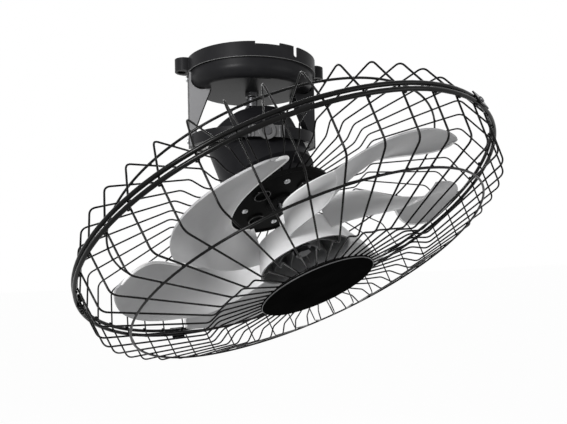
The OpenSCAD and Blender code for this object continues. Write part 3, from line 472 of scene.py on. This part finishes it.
FINISH_VALUES = {
    "canopy_paint": dict(
        colour=(0.011, 0.011, 0.012), second=(0.016, 0.016, 0.017), worn=(0.06, 0.06, 0.06),
        rough=(0.30, 0.40), grain=(1100, 0.000012), wear=0.5, specular=0.05),
    # The arm paint's paler tone on the left arm's front faces is painted light.
    "arm_paint": dict(
        colour=(0.011, 0.011, 0.012), second=(0.016, 0.016, 0.017), worn=(0.08, 0.08, 0.08),
        rough=(0.32, 0.44), grain=(1000, 0.000014), wear=0.6, specular=0.08,
        painted_light_side=(0.22, 0.22, 0.225)),
    "cradle_paint": dict(
        colour=(0.008, 0.008, 0.009), second=(0.012, 0.012, 0.013), worn=(0.06, 0.06, 0.06),
        rough=(0.34, 0.46), grain=(1000, 0.000014), wear=0.6, specular=0.06),
    "plate_paint": dict(
        colour=(0.085, 0.085, 0.087), second=(0.11, 0.11, 0.112), worn=(0.26, 0.26, 0.26),
        rough=(0.32, 0.44), grain=(1000, 0.000014), wear=0.7, specular=0.2),
    "motor_paint": dict(
        colour=(0.006, 0.006, 0.007), second=(0.010, 0.010, 0.011), worn=(0.04, 0.04, 0.04),
        rough=(0.36, 0.50), grain=(650, 0.00003), wear=0.4, specular=0.05),
    "guard_enamel": dict(
        colour=(0.003, 0.003, 0.003), second=(0.005, 0.005, 0.005), worn=(0.02, 0.02, 0.02),
        rough=(0.16, 0.26), grain=(700, 0.000008), wear=0.2, wear_radius=0.0003, specular=0.08,
        blotch=60),
    "grille_black": dict(
        colour=(0.004, 0.004, 0.004), second=(0.006, 0.006, 0.006), worn=(0.02, 0.02, 0.02),
        rough=(0.26, 0.36), grain=(1200, 0.00001), wear=0.3, specular=0.01),
    "badge_black": dict(
        colour=(0.003, 0.003, 0.003), second=(0.0045, 0.0045, 0.0045), worn=(0.02, 0.02, 0.02),
        rough=(0.34, 0.42), grain=(1500, 0.000006), wear=0.2, specular=0.0),
    # The blade grey is painted paler towards the hub: painted light on the blade roots.
    "blade_grey": dict(
        colour=(0.30, 0.30, 0.305), second=(0.37, 0.37, 0.375), worn=(0.62, 0.62, 0.62),
        rough=(0.30, 0.40), grain=(500, 0.00001), wear=0.8, wear_radius=0.0012, specular=0.2, blotch=14,
        translucent=0.25, painted_light_root=(0.72, 0.72, 0.725)),
    # A paler paint that paints a highlight along an edge.
    "painted_highlight_edge": dict(
        colour=(0.13, 0.13, 0.13), second=(0.17, 0.17, 0.17), worn=(0.24, 0.24, 0.24),
        rough=(0.24, 0.34), grain=(1100, 0.00001), wear=0.4, specular=0.2),
    "gloss_black": dict(
        colour=(0.004, 0.004, 0.004), second=(0.006, 0.006, 0.006), worn=(0.02, 0.02, 0.02),
        rough=(0.08, 0.14), grain=(900, 0.000005), wear=0.2, wear_radius=0.0003),
    # A near-white paint that paints a highlight along the blades' back edges.
    "blade_lip_painted_highlight": dict(
        colour=(0.80, 0.80, 0.80), second=(0.86, 0.86, 0.86), worn=(0.9, 0.9, 0.9),
        rough=(0.26, 0.36), grain=(500, 0.00001), wear=0.3, specular=0.4, blotch=14),
    # The hub grey turns much darker inside the cup: painted shade.
    "hub_grey": dict(
        colour=(0.66, 0.66, 0.665), second=(0.72, 0.72, 0.725), worn=(0.80, 0.80, 0.80),
        rough=(0.30, 0.42), grain=(500, 0.00001), wear=0.6, wear_radius=0.0012, specular=0.4, blotch=20,
        translucent=0.2, painted_shade_inside=(0.17, 0.17, 0.175)),
    # The ribs' darker grey is the hub plastic with painted shade.
    "hub_rib_painted_shade": dict(
        colour=(0.26, 0.26, 0.265), second=(0.32, 0.32, 0.325), worn=(0.5, 0.5, 0.5),
        rough=(0.30, 0.42), grain=(500, 0.00001), wear=0.5, specular=0.3, blotch=20),
    "zinc_steel": dict(
        colour=(0.60, 0.61, 0.62), second=(0.50, 0.51, 0.52), worn=(0.75, 0.75, 0.75),
        rough=(0.22, 0.38), grain=(1400, 0.00001), wear=0.6, wear_radius=0.0003, metallic=1.0,
        blotch=120),
    "dark_steel": dict(
        colour=(0.10, 0.10, 0.105), second=(0.07, 0.07, 0.072), worn=(0.30, 0.30, 0.30),
        rough=(0.34, 0.50), grain=(1200, 0.000012), wear=0.7, wear_radius=0.0004, metallic=1.0,
        blotch=90),
    "ground_steel": dict(
        colour=(0.56, 0.57, 0.58), second=(0.50, 0.51, 0.52), worn=(0.7, 0.7, 0.7),
        rough=(0.16, 0.28), grain=(2000, 0.000004), wear=0.4, wear_radius=0.0003, metallic=1.0,
        blotch=90, lines=(0.0003, 0.000004)),
    "core_steel": dict(
        colour=(0.34, 0.35, 0.36), second=(0.22, 0.22, 0.23), worn=(0.55, 0.55, 0.55),
        rough=(0.34, 0.5), grain=(1200, 0.00001), wear=0.4, metallic=1.0, lines=(0.0005, 0.00008)),
    "copper": dict(
        colour=(0.62, 0.24, 0.10), second=(0.48, 0.17, 0.07), worn=(0.8, 0.4, 0.2),
        rough=(0.22, 0.36), grain=(900, 0.00001), wear=0.3, metallic=0.85, lines=(0.0007, 0.0002)),
    "bronze": dict(
        colour=(0.52, 0.36, 0.16), second=(0.42, 0.28, 0.12), worn=(0.75, 0.58, 0.32),
        rough=(0.26, 0.42), grain=(1200, 0.00001), wear=0.5, wear_radius=0.0004, metallic=1.0),
    "nylon_white": dict(
        colour=(0.74, 0.73, 0.69), second=(0.68, 0.66, 0.61), worn=(0.82, 0.81, 0.78),
        rough=(0.36, 0.5), grain=(800, 0.000012), wear=0.5, translucent=0.2),
    "nylon_grey": dict(
        colour=(0.52, 0.52, 0.50), second=(0.46, 0.46, 0.44), worn=(0.64, 0.64, 0.62),
        rough=(0.38, 0.52), grain=(800, 0.000012), wear=0.5),
    "capacitor_case": dict(
        colour=(0.62, 0.62, 0.60), second=(0.56, 0.56, 0.54), worn=(0.72, 0.72, 0.7),
        rough=(0.26, 0.38), grain=(1500, 0.000008), wear=0.4),
}
FINISHES = {name: make_finish(name, **values) for name, values in FINISH_VALUES.items()}

for part in frame["record"]["subparts"]:
    for surface in frame["nodes"][part["node"]].material_slots:
        surface.material = FINISHES[part["material_slot"]]

# ---- guard wires ------------------------------------------------------------------

DRAWN_WIRE_R, SUPPORT_WIRE_R = 1.0, 1.3
BEND_TRIMS = (7.0, 4.5, 4.5)
WIRE_SLOPE = (STEP_OUT_D - CORNER_D) / (CORNER_R - STEP_OUT_R)
WIRE_AT_SUPPORT_D = CORNER_D + (CORNER_R - SUPPORT_R) * WIRE_SLOPE


def guard_wire_line(side):
    """The bent line of one wire as (radius, depth) points: side is -1 on the motor's side, 1 in front."""
    corner = np.array([CORNER_R, CORNER_D])
    to_rim = np.array([GUARD_R - RIM_WIRE_R, RIM_PITCH / 2]) - corner
    lean = math.asin((WIRE_R + RIM_WIRE_R) / np.linalg.norm(to_rim))
    heading = math.atan2(to_rim[1], to_rim[0]) - lean
    leg = np.linalg.norm(to_rim) * math.cos(lean) + RIM_WIRE_R
    end = corner + leg * np.array([math.cos(heading), math.sin(heading)])
    bends = [end, corner, np.array([STEP_OUT_R, STEP_OUT_D]), np.array([STEP_IN_R, CENTRE_D]),
             np.array([WIRE_IN_R, CENTRE_D])]
    line = [bends[0]]
    for before, bend, after, trim in zip(bends, bends[1:], bends[2:], BEND_TRIMS):
        line.extend(eased_corner(before, bend, after, trim))
    line.append(bends[-1])
    return [(p[0], GUARD_DEPTH + side * p[1]) for p in line]


def guard_wires(side):
    """All the wires of one half of the guard."""
    line = guard_wire_line(side)
    return join_shapes([
        tube([round_head(r, 360 * i / WIRE_COUNT, depth) for r, depth in line], DRAWN_WIRE_R * MM, sides=10)
        for i in range(WIRE_COUNT)])


def ring_path(radius, depth, steps=180):
    """A circle of points round the fan axis."""
    return [round_head(radius, 360 * i / steps, depth) for i in range(steps)]


def support_ring(side):
    """The ring welded on the outside of the wires' sloping run."""
    seat = WIRE_AT_SUPPORT_D + (DRAWN_WIRE_R + SUPPORT_WIRE_R) * math.hypot(1, WIRE_SLOPE)
    return tube(ring_path(SUPPORT_R, GUARD_DEPTH + side * seat), SUPPORT_WIRE_R * MM, closed=True)


for name, side in (("rear_guard_wires", -1), ("front_guard_wires", 1)):
    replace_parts(make_piece(name + "_bent", guard_wires(side), "fan_head", "guard_enamel"), name)
for name, side in (("rear_support_ring", -1), ("front_support_ring", 1)):
    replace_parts(make_piece(name + "_drawn", support_ring(side), "fan_head", "guard_enamel"), name)

WELD_PROFILE = ((0, -0.8), (0.8, -0.45), (1, 0), (0.8, 0.45), (0, 0.8))
WELD_STRETCH, WELD_SIDES = 0.55, 8
SUPPORT_WELD_R, SUPPORT_WELD_D = 1.5, WIRE_AT_SUPPORT_D + 1.3
RIM_WELD_R, RIM_WELD_RING_R, RIM_WELD_D = 1.6, GUARD_R - 3.9, RIM_PITCH / 2 + 2.0


def weld_spot(centre, across, out, size):
    """A small flattened bead where two wires are welded, drawn out across the wire."""
    profile = [(radius * size, height * size) for radius, height in WELD_PROFILE]
    points, faces = turned(centre, out, profile, WELD_SIDES)
    return [p + WELD_STRETCH * across * float(np.dot(p - centre, across)) for p in points], faces


def weld_spots():
    """Weld beads between the wires and the rings of both halves."""
    beads = []
    for i in range(WIRE_COUNT):
        turn = 360 * i / WIRE_COUNT
        out = head_out(turn)
        across = np.cross(out, FAN_AXIS)
        for side in (-1, 1):
            on_support = round_head(SUPPORT_R, turn, GUARD_DEPTH + side * SUPPORT_WELD_D)
            on_rim = round_head(RIM_WELD_RING_R, turn, GUARD_DEPTH + side * RIM_WELD_D)
            beads.append(weld_spot(on_support, across, FAN_AXIS, SUPPORT_WELD_R * MM))
            beads.append(weld_spot(on_rim, across, out, RIM_WELD_R * MM))
    return join_shapes(beads)


make_piece("guard_weld_spots", weld_spots(), "fan_head", "guard_enamel")

# ---- blades -----------------------------------------------------------------------

# BLADE_BELLY_TURN swings the middle of the blade's width round, and BLADE_FALL bends its section, both most
# at the tip. The tip's corners are cut back, and the skin thins at the edges and thickens at the root.
BLADE_ROWS, BLADE_COLUMNS, SLOPE_STEP = 44, 30, 0.004
BLADE_BELLY_TURN, BLADE_FALL, ROOT_OVERLAP = 48, 2, 0.5
BACK_TIP_CUT, FRONT_TIP_CUT = 0.02, 0.2
EDGE_THINNING, ROOT_THICKENING, ROOT_FADE = 0.3, 0.5, 0.03
LIP_R, LIP_FROM, LIP_TO, LIP_STEPS = 1.6, 0.04, 0.985, 40


def eased_value(controls, f):
    """Value at f on the curve with four control values."""
    a, b, c, d = controls
    return a * (1 - f) ** 3 + 3 * b * f * (1 - f) ** 2 + 3 * c * f * f * (1 - f) + d * f ** 3


def hub_radius(depth):
    """The outside of the hub's flared cup."""
    start = GUARD_DEPTH - HUB_BACK_D
    return HUB_BACK_R + (HUB_FRONT_R - HUB_BACK_R) * (depth - start) / (HUB_BACK_D + HUB_FRONT_D)


def blade_middle(f, g):
    """The blade's middle surface in the head's millimetres.

    f runs from 0 at the hub to 1 at the tip, g from 0 at the back edge to 1 at the front edge.
    """
    turn = ((1 - g) * eased_value(BLADE_BACK_TURN, f) + g * eased_value(BLADE_FRONT_TURN, f)
            + BLADE_BELLY_TURN * g * (1 - g) * f * f)
    fall = g ** (1 + BLADE_FALL * f * f)
    depth = (GUARD_DEPTH + (1 - fall) * eased_value(BLADE_BACK_D, f)
             + fall * eased_value(BLADE_FRONT_D, f))
    root_depth = GUARD_DEPTH + (1 - g) * BLADE_BACK_D[0] + g * BLADE_FRONT_D[0]
    base = max(HUB_BACK_R, hub_radius(root_depth)) - ROOT_OVERLAP
    tip = BLADE_TIP_R * (1 - (BACK_TIP_CUT if g < 0.5 else FRONT_TIP_CUT) * abs(2 * g - 1) ** 3)
    radius = base + (tip - base) * f
    a = math.radians(turn)
    return np.array([radius * math.cos(a), radius * math.sin(a), depth])


def blade_normal(f, g):
    """The way the blade's middle surface faces."""
    out = blade_middle(min(f + SLOPE_STEP, 1), g) - blade_middle(max(f - SLOPE_STEP, 0), g)
    across = blade_middle(f, min(g + SLOPE_STEP, 1)) - blade_middle(f, max(g - SLOPE_STEP, 0))
    return unit(np.cross(out, across))


def blade_skin():
    """One blade of two skins, thinner towards its edges and thicker at its root."""
    grid = [[], []]
    for i in range(BLADE_ROWS + 1):
        for j in range(BLADE_COLUMNS + 1):
            f, g = i / BLADE_ROWS, j / BLADE_COLUMNS
            thick = (BLADE_T * (1 - EDGE_THINNING * abs(2 * g - 1) ** 4)
                     * (1 + ROOT_THICKENING * math.exp(-f / ROOT_FADE)))
            middle, normal = blade_middle(f, g), blade_normal(f, g)
            for skin, sign in zip(grid, (1, -1)):
                skin.append(middle + sign * thick / 2 * normal)
    width = BLADE_COLUMNS + 1
    size = (BLADE_ROWS + 1) * width

    def at(skin, i, j):
        """The number of the point in row i and column j of a skin."""
        return skin * size + i * width + j

    faces = []
    tip, front = BLADE_ROWS, BLADE_COLUMNS
    for i in range(tip):
        for j in range(front):
            faces.append((at(0, i, j), at(0, i, j + 1), at(0, i + 1, j + 1), at(0, i + 1, j)))
            faces.append((at(1, i, j), at(1, i + 1, j), at(1, i + 1, j + 1), at(1, i, j + 1)))
        faces.append((at(0, i, 0), at(0, i + 1, 0), at(1, i + 1, 0), at(1, i, 0)))
        faces.append((at(0, i, front), at(1, i, front), at(1, i + 1, front), at(0, i + 1, front)))
    for j in range(front):
        faces.append((at(0, 0, j), at(1, 0, j), at(1, 0, j + 1), at(0, 0, j + 1)))
        faces.append((at(0, tip, j), at(0, tip, j + 1), at(1, tip, j + 1), at(1, tip, j)))
    return grid[0] + grid[1], faces


def turned_to_head(points, turn):
    """Points in the head's millimetres, turned round the fan axis and placed."""
    c, s = math.cos(math.radians(turn)), math.sin(math.radians(turn))
    return [on_head(p[0] * c - p[1] * s, p[0] * s + p[1] * c, p[2]) for p in points]


def blade_lip_painted_highlight(turn):
    """The rolled lip along a blade's back edge, which carries a near-white painted highlight."""
    run = [blade_middle(f, 0.0) for f in np.linspace(LIP_FROM, LIP_TO, LIP_STEPS)]
    return tube(turned_to_head(run, turn), LIP_R * MM, sides=10)


blade_turns = [BLADE_PHASE + 360 * k / BLADE_COUNT for k in range(BLADE_COUNT)]
blade_points, blade_faces = blade_skin()
blades = join_shapes([(turned_to_head(blade_points, turn), blade_faces) for turn in blade_turns])
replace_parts(make_piece("fan_blades_moulded", blades, "fan_rotor", "blade_grey", bevel=0.5 * MM),
            "fan_blades")
# The lips take the near-white paint: a painted highlight along the blades' back edges.
make_piece("blade_edge_beads", join_shapes([blade_lip_painted_highlight(turn) for turn in blade_turns]),
           "fan_rotor", "blade_grey", "blade_lip_painted_highlight")

# ---- hub ribs ---------------------------------------------------------------------

RIB_COUNT, RIB_START, RIB_HALF_T = 12, 9, 0.9
HUB_FLOOR_T, RIB_INSET = 3.0, 2.5
RIB_OUTLINE = ((12.5, 0), (12.5, 10), (30, 9), (48.5, 15), (53.0, 19), (50.5, 0))


def hub_rib(turn):
    """One thin web in the hub's open cup, kept inside its flared wall."""
    floor = GUARD_DEPTH - HUB_BACK_D + HUB_FLOOR_T
    outline = [(min(r, hub_radius(floor + rise) - RIB_INSET), floor + rise) for r, rise in RIB_OUTLINE]
    sideways = np.cross(head_out(turn), FAN_AXIS) * RIB_HALF_T * MM
    points = [round_head(r, turn, depth) + s * sideways for s in (-1, 1) for r, depth in outline]
    n = len(outline)
    return points, [cap(0, n)[::-1], cap(n, n)] + band(0, n, n)


hub_ribs = [hub_rib(360 * i / RIB_COUNT + RIB_START) for i in range(RIB_COUNT)]
# The ribs inside the cup take a darker grey than the hub: painted shade.
make_piece("hub_ribs", join_shapes(hub_ribs), "fan_rotor", "hub_grey", "hub_rib_painted_shade", flat=True)

# ---- canopy band and arm flanges --------------------------------------------------

BEAD_R, BEAD_INSET, BEAD_RISE = 0.42, 0.35, 0.3
HEM_PROUD, HEM_END, FLANGE_BEND_SHARE, FLANGE_FOOT_H = 0.1, 0.6, 0.55, 8


def level_ring(radius, height, steps=160):
    """A level circle of points round the ceiling point."""
    turns = [2 * math.pi * i / steps for i in range(steps)]
    return [np.array([radius * math.cos(a), radius * math.sin(a), height]) * MM for a in turns]


def arm_hems():
    """The rolled hem along the slanting edge of each arm flange."""
    edge = [(ARM_IN_R - FLANGE_REACH, FLANGE_TOP - HEM_END),
            (ARM_IN_R - FLANGE_REACH * FLANGE_BEND_SHARE, (FLANGE_TOP + FLANGE_LOW) / 2),
            (ARM_IN_R - FLANGE_FOOT_W, FLANGE_LOW + FLANGE_FOOT_H),
            (ARM_IN_R - FLANGE_FOOT_W, FLANGE_LOW + HEM_END)]
    middle = ARM_FLANGE_Y - ARM_FLANGE_T / 2
    return join_shapes([
        tube([np.array([side * x, y, z]) * MM for x, z in edge], (ARM_FLANGE_T / 2 + HEM_PROUD) * MM)
        for side in (-1, 1) for y in (-middle, middle)])


# A thin bead along the band's step, in a paler paint: a painted highlight along the step.
band_edge = level_ring(CANOPY_R - BEAD_INSET, -BAND_H + BEAD_RISE)
make_piece("canopy_band_edge", tube(band_edge, BEAD_R * MM, sides=8, closed=True),
           "bracket", "canopy_paint", "painted_highlight_edge")
make_piece("arm_flange_hems", arm_hems(), "bracket", "arm_paint", "canopy_paint")

# ---- clamp on the left rim --------------------------------------------------------

CLAMP_TURN, CLAMP_W, CLAMP_T, CLAMP_COLUMNS = 244, 22, 1.3, 10
CLAMP_IN_R, CLAMP_OUT_R, CLAMP_HALF_H = 261.0, 268.7, 6.6
# Shares of the clamp's width: how wide the web is, and how far a knob stands from the middle.
WEB_SHARE, KNOB_SHARE = 0.5, 0.36
KNOB_PROFILE = ((0, -0.2), (3.0, -0.2), (3.2, 0.6), (2.8, 2.2), (1.6, 3.0), (0, 3.2))


def swept_bar(turn, width, inner, outer, low, high):
    """A bar of square section that follows the rim over a width."""
    half = math.degrees(width / 2 / GUARD_R)
    points, faces = [], []
    for i in range(CLAMP_COLUMNS + 1):
        at_turn = turn - half + 2 * half * i / CLAMP_COLUMNS
        points += [round_head(radius, at_turn, GUARD_DEPTH + depth) for radius, depth in
                   ((inner, low), (outer, low), (outer, high), (inner, high))]
    for i in range(CLAMP_COLUMNS):
        faces += band(4 * i, 4 * (i + 1), 4)
    return points, faces + [cap(0, 4)[::-1], cap(4 * CLAMP_COLUMNS, 4)]


def rim_clamp(turn):
    """Two straps that pinch the rim rings together, a web between them, and two rounded screw knobs."""
    shapes = []
    for middle in (-CLAMP_HALF_H, CLAMP_HALF_H):
        low, high = middle - CLAMP_T / 2, middle + CLAMP_T / 2
        shapes.append(swept_bar(turn, CLAMP_W, CLAMP_IN_R, CLAMP_OUT_R, low, high))
    shapes.append(swept_bar(turn, CLAMP_W * WEB_SHARE, CLAMP_IN_R, CLAMP_IN_R + CLAMP_T,
                            -CLAMP_HALF_H, CLAMP_HALF_H))
    for share in (-KNOB_SHARE, KNOB_SHARE):
        seat = round_head((CLAMP_IN_R + CLAMP_OUT_R) / 2, turn + math.degrees(share * CLAMP_W / GUARD_R),
                          GUARD_DEPTH + CLAMP_HALF_H + CLAMP_T / 2)
        shapes.append(turned(seat, -FAN_AXIS, in_metres(KNOB_PROFILE), sides=20))
    return join_shapes(shapes)


make_piece("rim_clamp_left", rim_clamp(CLAMP_TURN), "fan_head", "guard_enamel", bevel=0.25 * MM)

# ---- grille plate recesses and badge edge -----------------------------------------

RECESS_TURNS, RECESS_RING_R, RECESS_R = (20, 110, 200, 290), 43, 9.5
PLATE_T, RECESS_LIP_R, RECESS_LIP_OUT, RECESS_LIP_RISE = 3.0, 0.7, 1.2, 2.0
BADGE_DEPTH = GUARD_DEPTH + CENTRE_D + WIRE_R
BADGE_EDGE_R, BADGE_EDGE_INSET, BADGE_EDGE_RISE = 0.75, 1.15, 1.75


def recess_lip(turn):
    """The rounded lip of one round recess in the grille plate."""
    centre = round_head(RECESS_RING_R, turn, PLATE_DEPTH + PLATE_T + RECESS_LIP_RISE)
    path = circle(centre, UPHILL, ACROSS, (RECESS_R + RECESS_LIP_OUT) * MM, count=48)
    return tube(path, RECESS_LIP_R * MM, sides=10, closed=True)


recess_lips = join_shapes([recess_lip(turn) for turn in RECESS_TURNS])
make_piece("grille_plate_recess_lips", recess_lips, "fan_head", "grille_black", "gloss_black")

badge_edge = ring_path(BADGE_R - BADGE_EDGE_INSET, BADGE_DEPTH + BADGE_EDGE_RISE)
make_piece("badge_edge_ring", tube(badge_edge, BADGE_EDGE_R * MM, sides=10, closed=True),
           "fan_head", "badge_black", "plate_paint")

# ---- screws and stud --------------------------------------------------------------

# Shares of a head's height: rim, dome and the cross's depth. Shares of its radius: the cross's arms.
HEAD_CELLS, HEAD_RIM, HEAD_DOME = 36, 0.55, 0.45
CROSS_HALF_W, CROSS_REACH, CROSS_DEPTH = 0.13, 0.55, 0.45
SCREW_PITCH, SCREW_THREAD_DEPTH, ROWS_PER_TURN = 0.7, 0.12, 8


def cross_head(centre, axis, radius, height):
    """A domed screw head with a cross recess, rising from centre along axis."""
    axis, side, up = axes_round(axis)
    n, width = HEAD_CELLS, HEAD_CELLS + 1
    points, faces = [], []
    for i in range(width):
        for j in range(width):
            u, v = 2 * i / n - 1, 2 * j / n - 1
            x, y = u * math.sqrt(1 - v * v / 2), v * math.sqrt(1 - u * u / 2)
            rise = height * (HEAD_RIM + HEAD_DOME * math.sqrt(max(0.0, 1 - (x * x + y * y))))
            if min(abs(x), abs(y)) < CROSS_HALF_W and max(abs(x), abs(y)) < CROSS_REACH:
                rise -= CROSS_DEPTH * height
            points.append(centre + radius * (x * side + y * up) + rise * axis)
    for i in range(n):
        for j in range(n):
            here, there = i * width + j, (i + 1) * width + j
            faces.append((here, there, there + 1, here + 1))
    edge = (list(range(n)) + [i * width + n for i in range(n)]
            + [n * width + n - j for j in range(n)] + [(n - i) * width for i in range(n)])
    start, count = len(points), len(edge)
    for k in edge:
        from_centre = points[k] - centre
        points.append(centre + from_centre - axis * from_centre.dot(axis))
    for k in range(count):
        after = (k + 1) % count
        faces.append((edge[k], edge[after], start + after, start + k))
    return points, faces + [cap(start, count)]


def threaded(start, axis, length, radius, pitch, depth, sides=28):
    """A threaded rod from start along axis."""
    start = np.asarray(start, float)
    axis, side, up = axes_round(axis)
    rows = int(length / pitch * ROWS_PER_TURN)
    points, faces = [], []
    for i in range(rows + 1):
        height = length * i / rows
        for k in range(sides):
            a = 2 * math.pi * k / sides
            phase = (height / pitch - k / sides) % 1.0
            r = radius - depth * abs(2 * phase - 1)
            points.append(start + height * axis + r * (math.cos(a) * side + math.sin(a) * up))
    for i in range(rows):
        faces += band(i * sides, (i + 1) * sides, sides)
    return points, faces + [cap(0, sides)[::-1], cap(rows * sides, sides)]


def screw(seat, axis, shank_r, shank_l, head_r, head_h):
    """A screw whose shank starts at seat and whose head stands at the shank's far end."""
    seat, axis = np.asarray(seat, float), np.asarray(axis, float)
    return join_shapes([
        threaded(seat, axis, shank_l * MM, shank_r * MM, SCREW_PITCH * MM, SCREW_THREAD_DEPTH * MM,
                 sides=20),
        cross_head(seat + axis * shank_l * MM, axis, head_r * MM, head_h * MM)])


ARM_SCREW_HEIGHTS, ARM_SCREW_SEAT = (-26, -112), 0.2
PLATE_SCREW_TURNS, PLATE_SCREW_RING_R = (65, 155, 245, 335), 50
CLIP_SCREW_TURNS, CLIP_SCREW_INSET = (10, 190), 7

arm_screws = join_shapes([
    screw((side * (ARM_IN_R + ARM_SCREW_SEAT) * MM, 0, height * MM), (side, 0, 0),
          shank_r=2, shank_l=3, head_r=4, head_h=2.2)
    for side in (1, -1) for height in ARM_SCREW_HEIGHTS])
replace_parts(make_piece("arm_screws_cross", arm_screws, "bracket", "zinc_steel"), "arm_screws")

plate_screws = join_shapes([
    screw(round_head(PLATE_SCREW_RING_R, turn, PLATE_DEPTH), -FAN_AXIS,
          shank_r=2, shank_l=3, head_r=4.2, head_h=2.4)
    for turn in PLATE_SCREW_TURNS])
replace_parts(make_piece("grille_plate_screws_cross", plate_screws, "fan_head", "zinc_steel"),
            "grille_plate_screws")

clip_screws = join_shapes([
    screw(round_head(GUARD_R - CLIP_SCREW_INSET, turn, GUARD_DEPTH), head_out(turn),
          shank_r=1.15, shank_l=8.55, head_r=3.4, head_h=1.8)
    for turn in CLIP_SCREW_TURNS])
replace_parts(make_piece("clip_screws_cross", clip_screws, "fan_head", "dark_steel"), "clip_screws")

STUD_LOW, STUD_HIGH, STUD_R, STUD_PITCH, STUD_THREAD_DEPTH = -49.7, -26.7, 5, 1.5, 0.35
COLLAR_H, COLLAR_PROFILE = 2, ((0, 0), (6.2, 0), (6.5, 0.3), (6.5, 1.7), (6.2, 2), (0, 2))
SHANK_LOW, SHANK_PROFILE = -62, ((0, 0), (3.6, 0), (4, 0.5), (4, 13), (0, 13))
WASHER_LOW = -47.4
WASHER_PROFILE = ((5.2, 0), (9, 0), (9.2, 0.3), (9.2, 1), (9, 1.3), (5.2, 1.3), (5.2, 0))


def turned_upright(height, profile):
    """A profile in millimetres turned round the ceiling point's upright line."""
    return turned((0, 0, height * MM), UP, in_metres(profile))


stud = join_shapes([
    threaded((0, 0, (STUD_LOW + COLLAR_H) * MM), UP, (STUD_HIGH - STUD_LOW - COLLAR_H) * MM,
             STUD_R * MM, STUD_PITCH * MM, STUD_THREAD_DEPTH * MM),
    turned_upright(STUD_LOW, COLLAR_PROFILE),
    turned_upright(SHANK_LOW, SHANK_PROFILE)])
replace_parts(make_piece("centre_stud_threaded", stud, "bracket", "dark_steel"), "centre_stud")
make_piece("stud_washer", turned_upright(WASHER_LOW, WASHER_PROFILE), "bracket", "dark_steel")

# ---- floor, lamps and camera ------------------------------------------------------

FLOOR_HEIGHT, FLOOR_HALF = -2.4, 20
FLOOR_COLOUR, FLOOR_ROUGHNESS = (0.85, 0.85, 0.85, 1), 0.8
FLOOR_GLOW, FLOOR_GLOW_SHARE = 1.1, 0.85  # the share left over shows the fan's shadow
WHITE = (1, 1, 1, 1)
WORLD_LEVEL = 0.32
LAMP_TARGET = (0, 0, -0.25)
EYE = (-0.1414, -0.6858, -0.2345)
VIEW_LINE, VIEW_ROLL, LENS_MM = (0.2587, 0.9654, 0.0330), -0.024, 31.40


def seen_directly(tree):
    """1 on camera, glossy and transmission rays."""
    path = tree.nodes.new("ShaderNodeLightPath").outputs
    seen_or_glossy = number_step(tree, "MAXIMUM", path["Is Camera Ray"], path["Is Glossy Ray"])
    return number_step(tree, "MAXIMUM", seen_or_glossy, path["Is Transmission Ray"])


def blended(tree, share, first, second, end):
    """Two shaders mixed by a share, linked to an end node."""
    blend = tree.nodes.new("ShaderNodeMixShader")
    for value, entry in zip((share, first, second), blend.inputs):
        feed(tree, value, entry)
    feed(tree, blend.outputs["Shader"], end.inputs["Surface"])


def make_floor():
    """A pale floor that keeps the fan's shadow and glows white where it is seen directly."""
    finish = bpy.data.materials.new("pale_floor")
    finish.use_nodes = True
    tree = finish.node_tree
    matt = tree.nodes["Principled BSDF"]
    matt.inputs["Base Color"].default_value = FLOOR_COLOUR
    matt.inputs["Roughness"].default_value = FLOOR_ROUGHNESS
    glow = fed_node(tree, "ShaderNodeEmission", Color=WHITE, Strength=FLOOR_GLOW)
    share = number_step(tree, "MULTIPLY", seen_directly(tree), FLOOR_GLOW_SHARE)
    blended(tree, share, matt.outputs["BSDF"], glow.outputs["Emission"], tree.nodes["Material Output"])
    mesh = bpy.data.meshes.new("room_floor")
    side, z = FLOOR_HALF, FLOOR_HEIGHT
    corners = [(-side, -side, z), (side, -side, z), (side, side, z), (-side, side, z)]
    mesh.from_pydata(corners, [], [(0, 1, 2, 3)])
    mesh.materials.append(finish)
    floor = bpy.data.objects.new("room_floor", mesh)
    bpy.context.scene.collection.objects.link(floor)


def make_world(level):
    """Soft light from all round at a level, and white where it is seen directly."""
    world = bpy.data.worlds.new("studio")
    bpy.context.scene.world = world
    world.use_nodes = True
    tree = world.node_tree
    tree.nodes.clear()
    soft = fed_node(tree, "ShaderNodeBackground", Color=WHITE, Strength=level)
    white = fed_node(tree, "ShaderNodeBackground", Color=WHITE, Strength=1.0)
    blended(tree, seen_directly(tree), soft.outputs["Background"], white.outputs["Background"],
            tree.nodes.new("ShaderNodeOutputWorld"))


def soft_lamp(name, place, size, power):
    """A square lamp that looks at the middle of the fan."""
    lamp = bpy.data.lights.new(name, "AREA")
    lamp.shape = "SQUARE"
    lamp.size = size
    lamp.energy = power
    holder = bpy.data.objects.new(name, lamp)
    holder.location = place
    holder.rotation_euler = (Vector(LAMP_TARGET) - Vector(place)).to_track_quat("-Z", "Y").to_euler()
    bpy.context.scene.collection.objects.link(holder)


def make_camera():
    """The camera at the photograph's viewing angle, with its small roll."""
    ahead = unit(VIEW_LINE)
    level_right = unit(np.cross(ahead, UP))
    level_up = np.cross(level_right, ahead)
    right = math.cos(VIEW_ROLL) * level_right + math.sin(VIEW_ROLL) * level_up
    up = -math.sin(VIEW_ROLL) * level_right + math.cos(VIEW_ROLL) * level_up
    lens = bpy.data.cameras.new("photo_view")
    lens.lens = LENS_MM
    lens.sensor_fit = "HORIZONTAL"
    lens.clip_start = 0.01
    camera = bpy.data.objects.new("photo_view", lens)
    rows = [(right[i], up[i], -ahead[i], EYE[i]) for i in range(3)]
    camera.matrix_world = Matrix([*rows, (0, 0, 0, 1)])
    bpy.context.scene.collection.objects.link(camera)
    bpy.context.scene.camera = camera


make_floor()
make_world(WORLD_LEVEL)
soft_lamp("key_lamp", (-1.5, -1.6, 0.15), size=0.55, power=56)
soft_lamp("fill_lamp", (1.5, -1.5, -0.5), size=1.2, power=14)
soft_lamp("back_lamp", (0.3, 1.7, 0.6), size=1.2, power=14)
make_camera()
bpy.context.scene.view_settings.view_transform = "Standard"
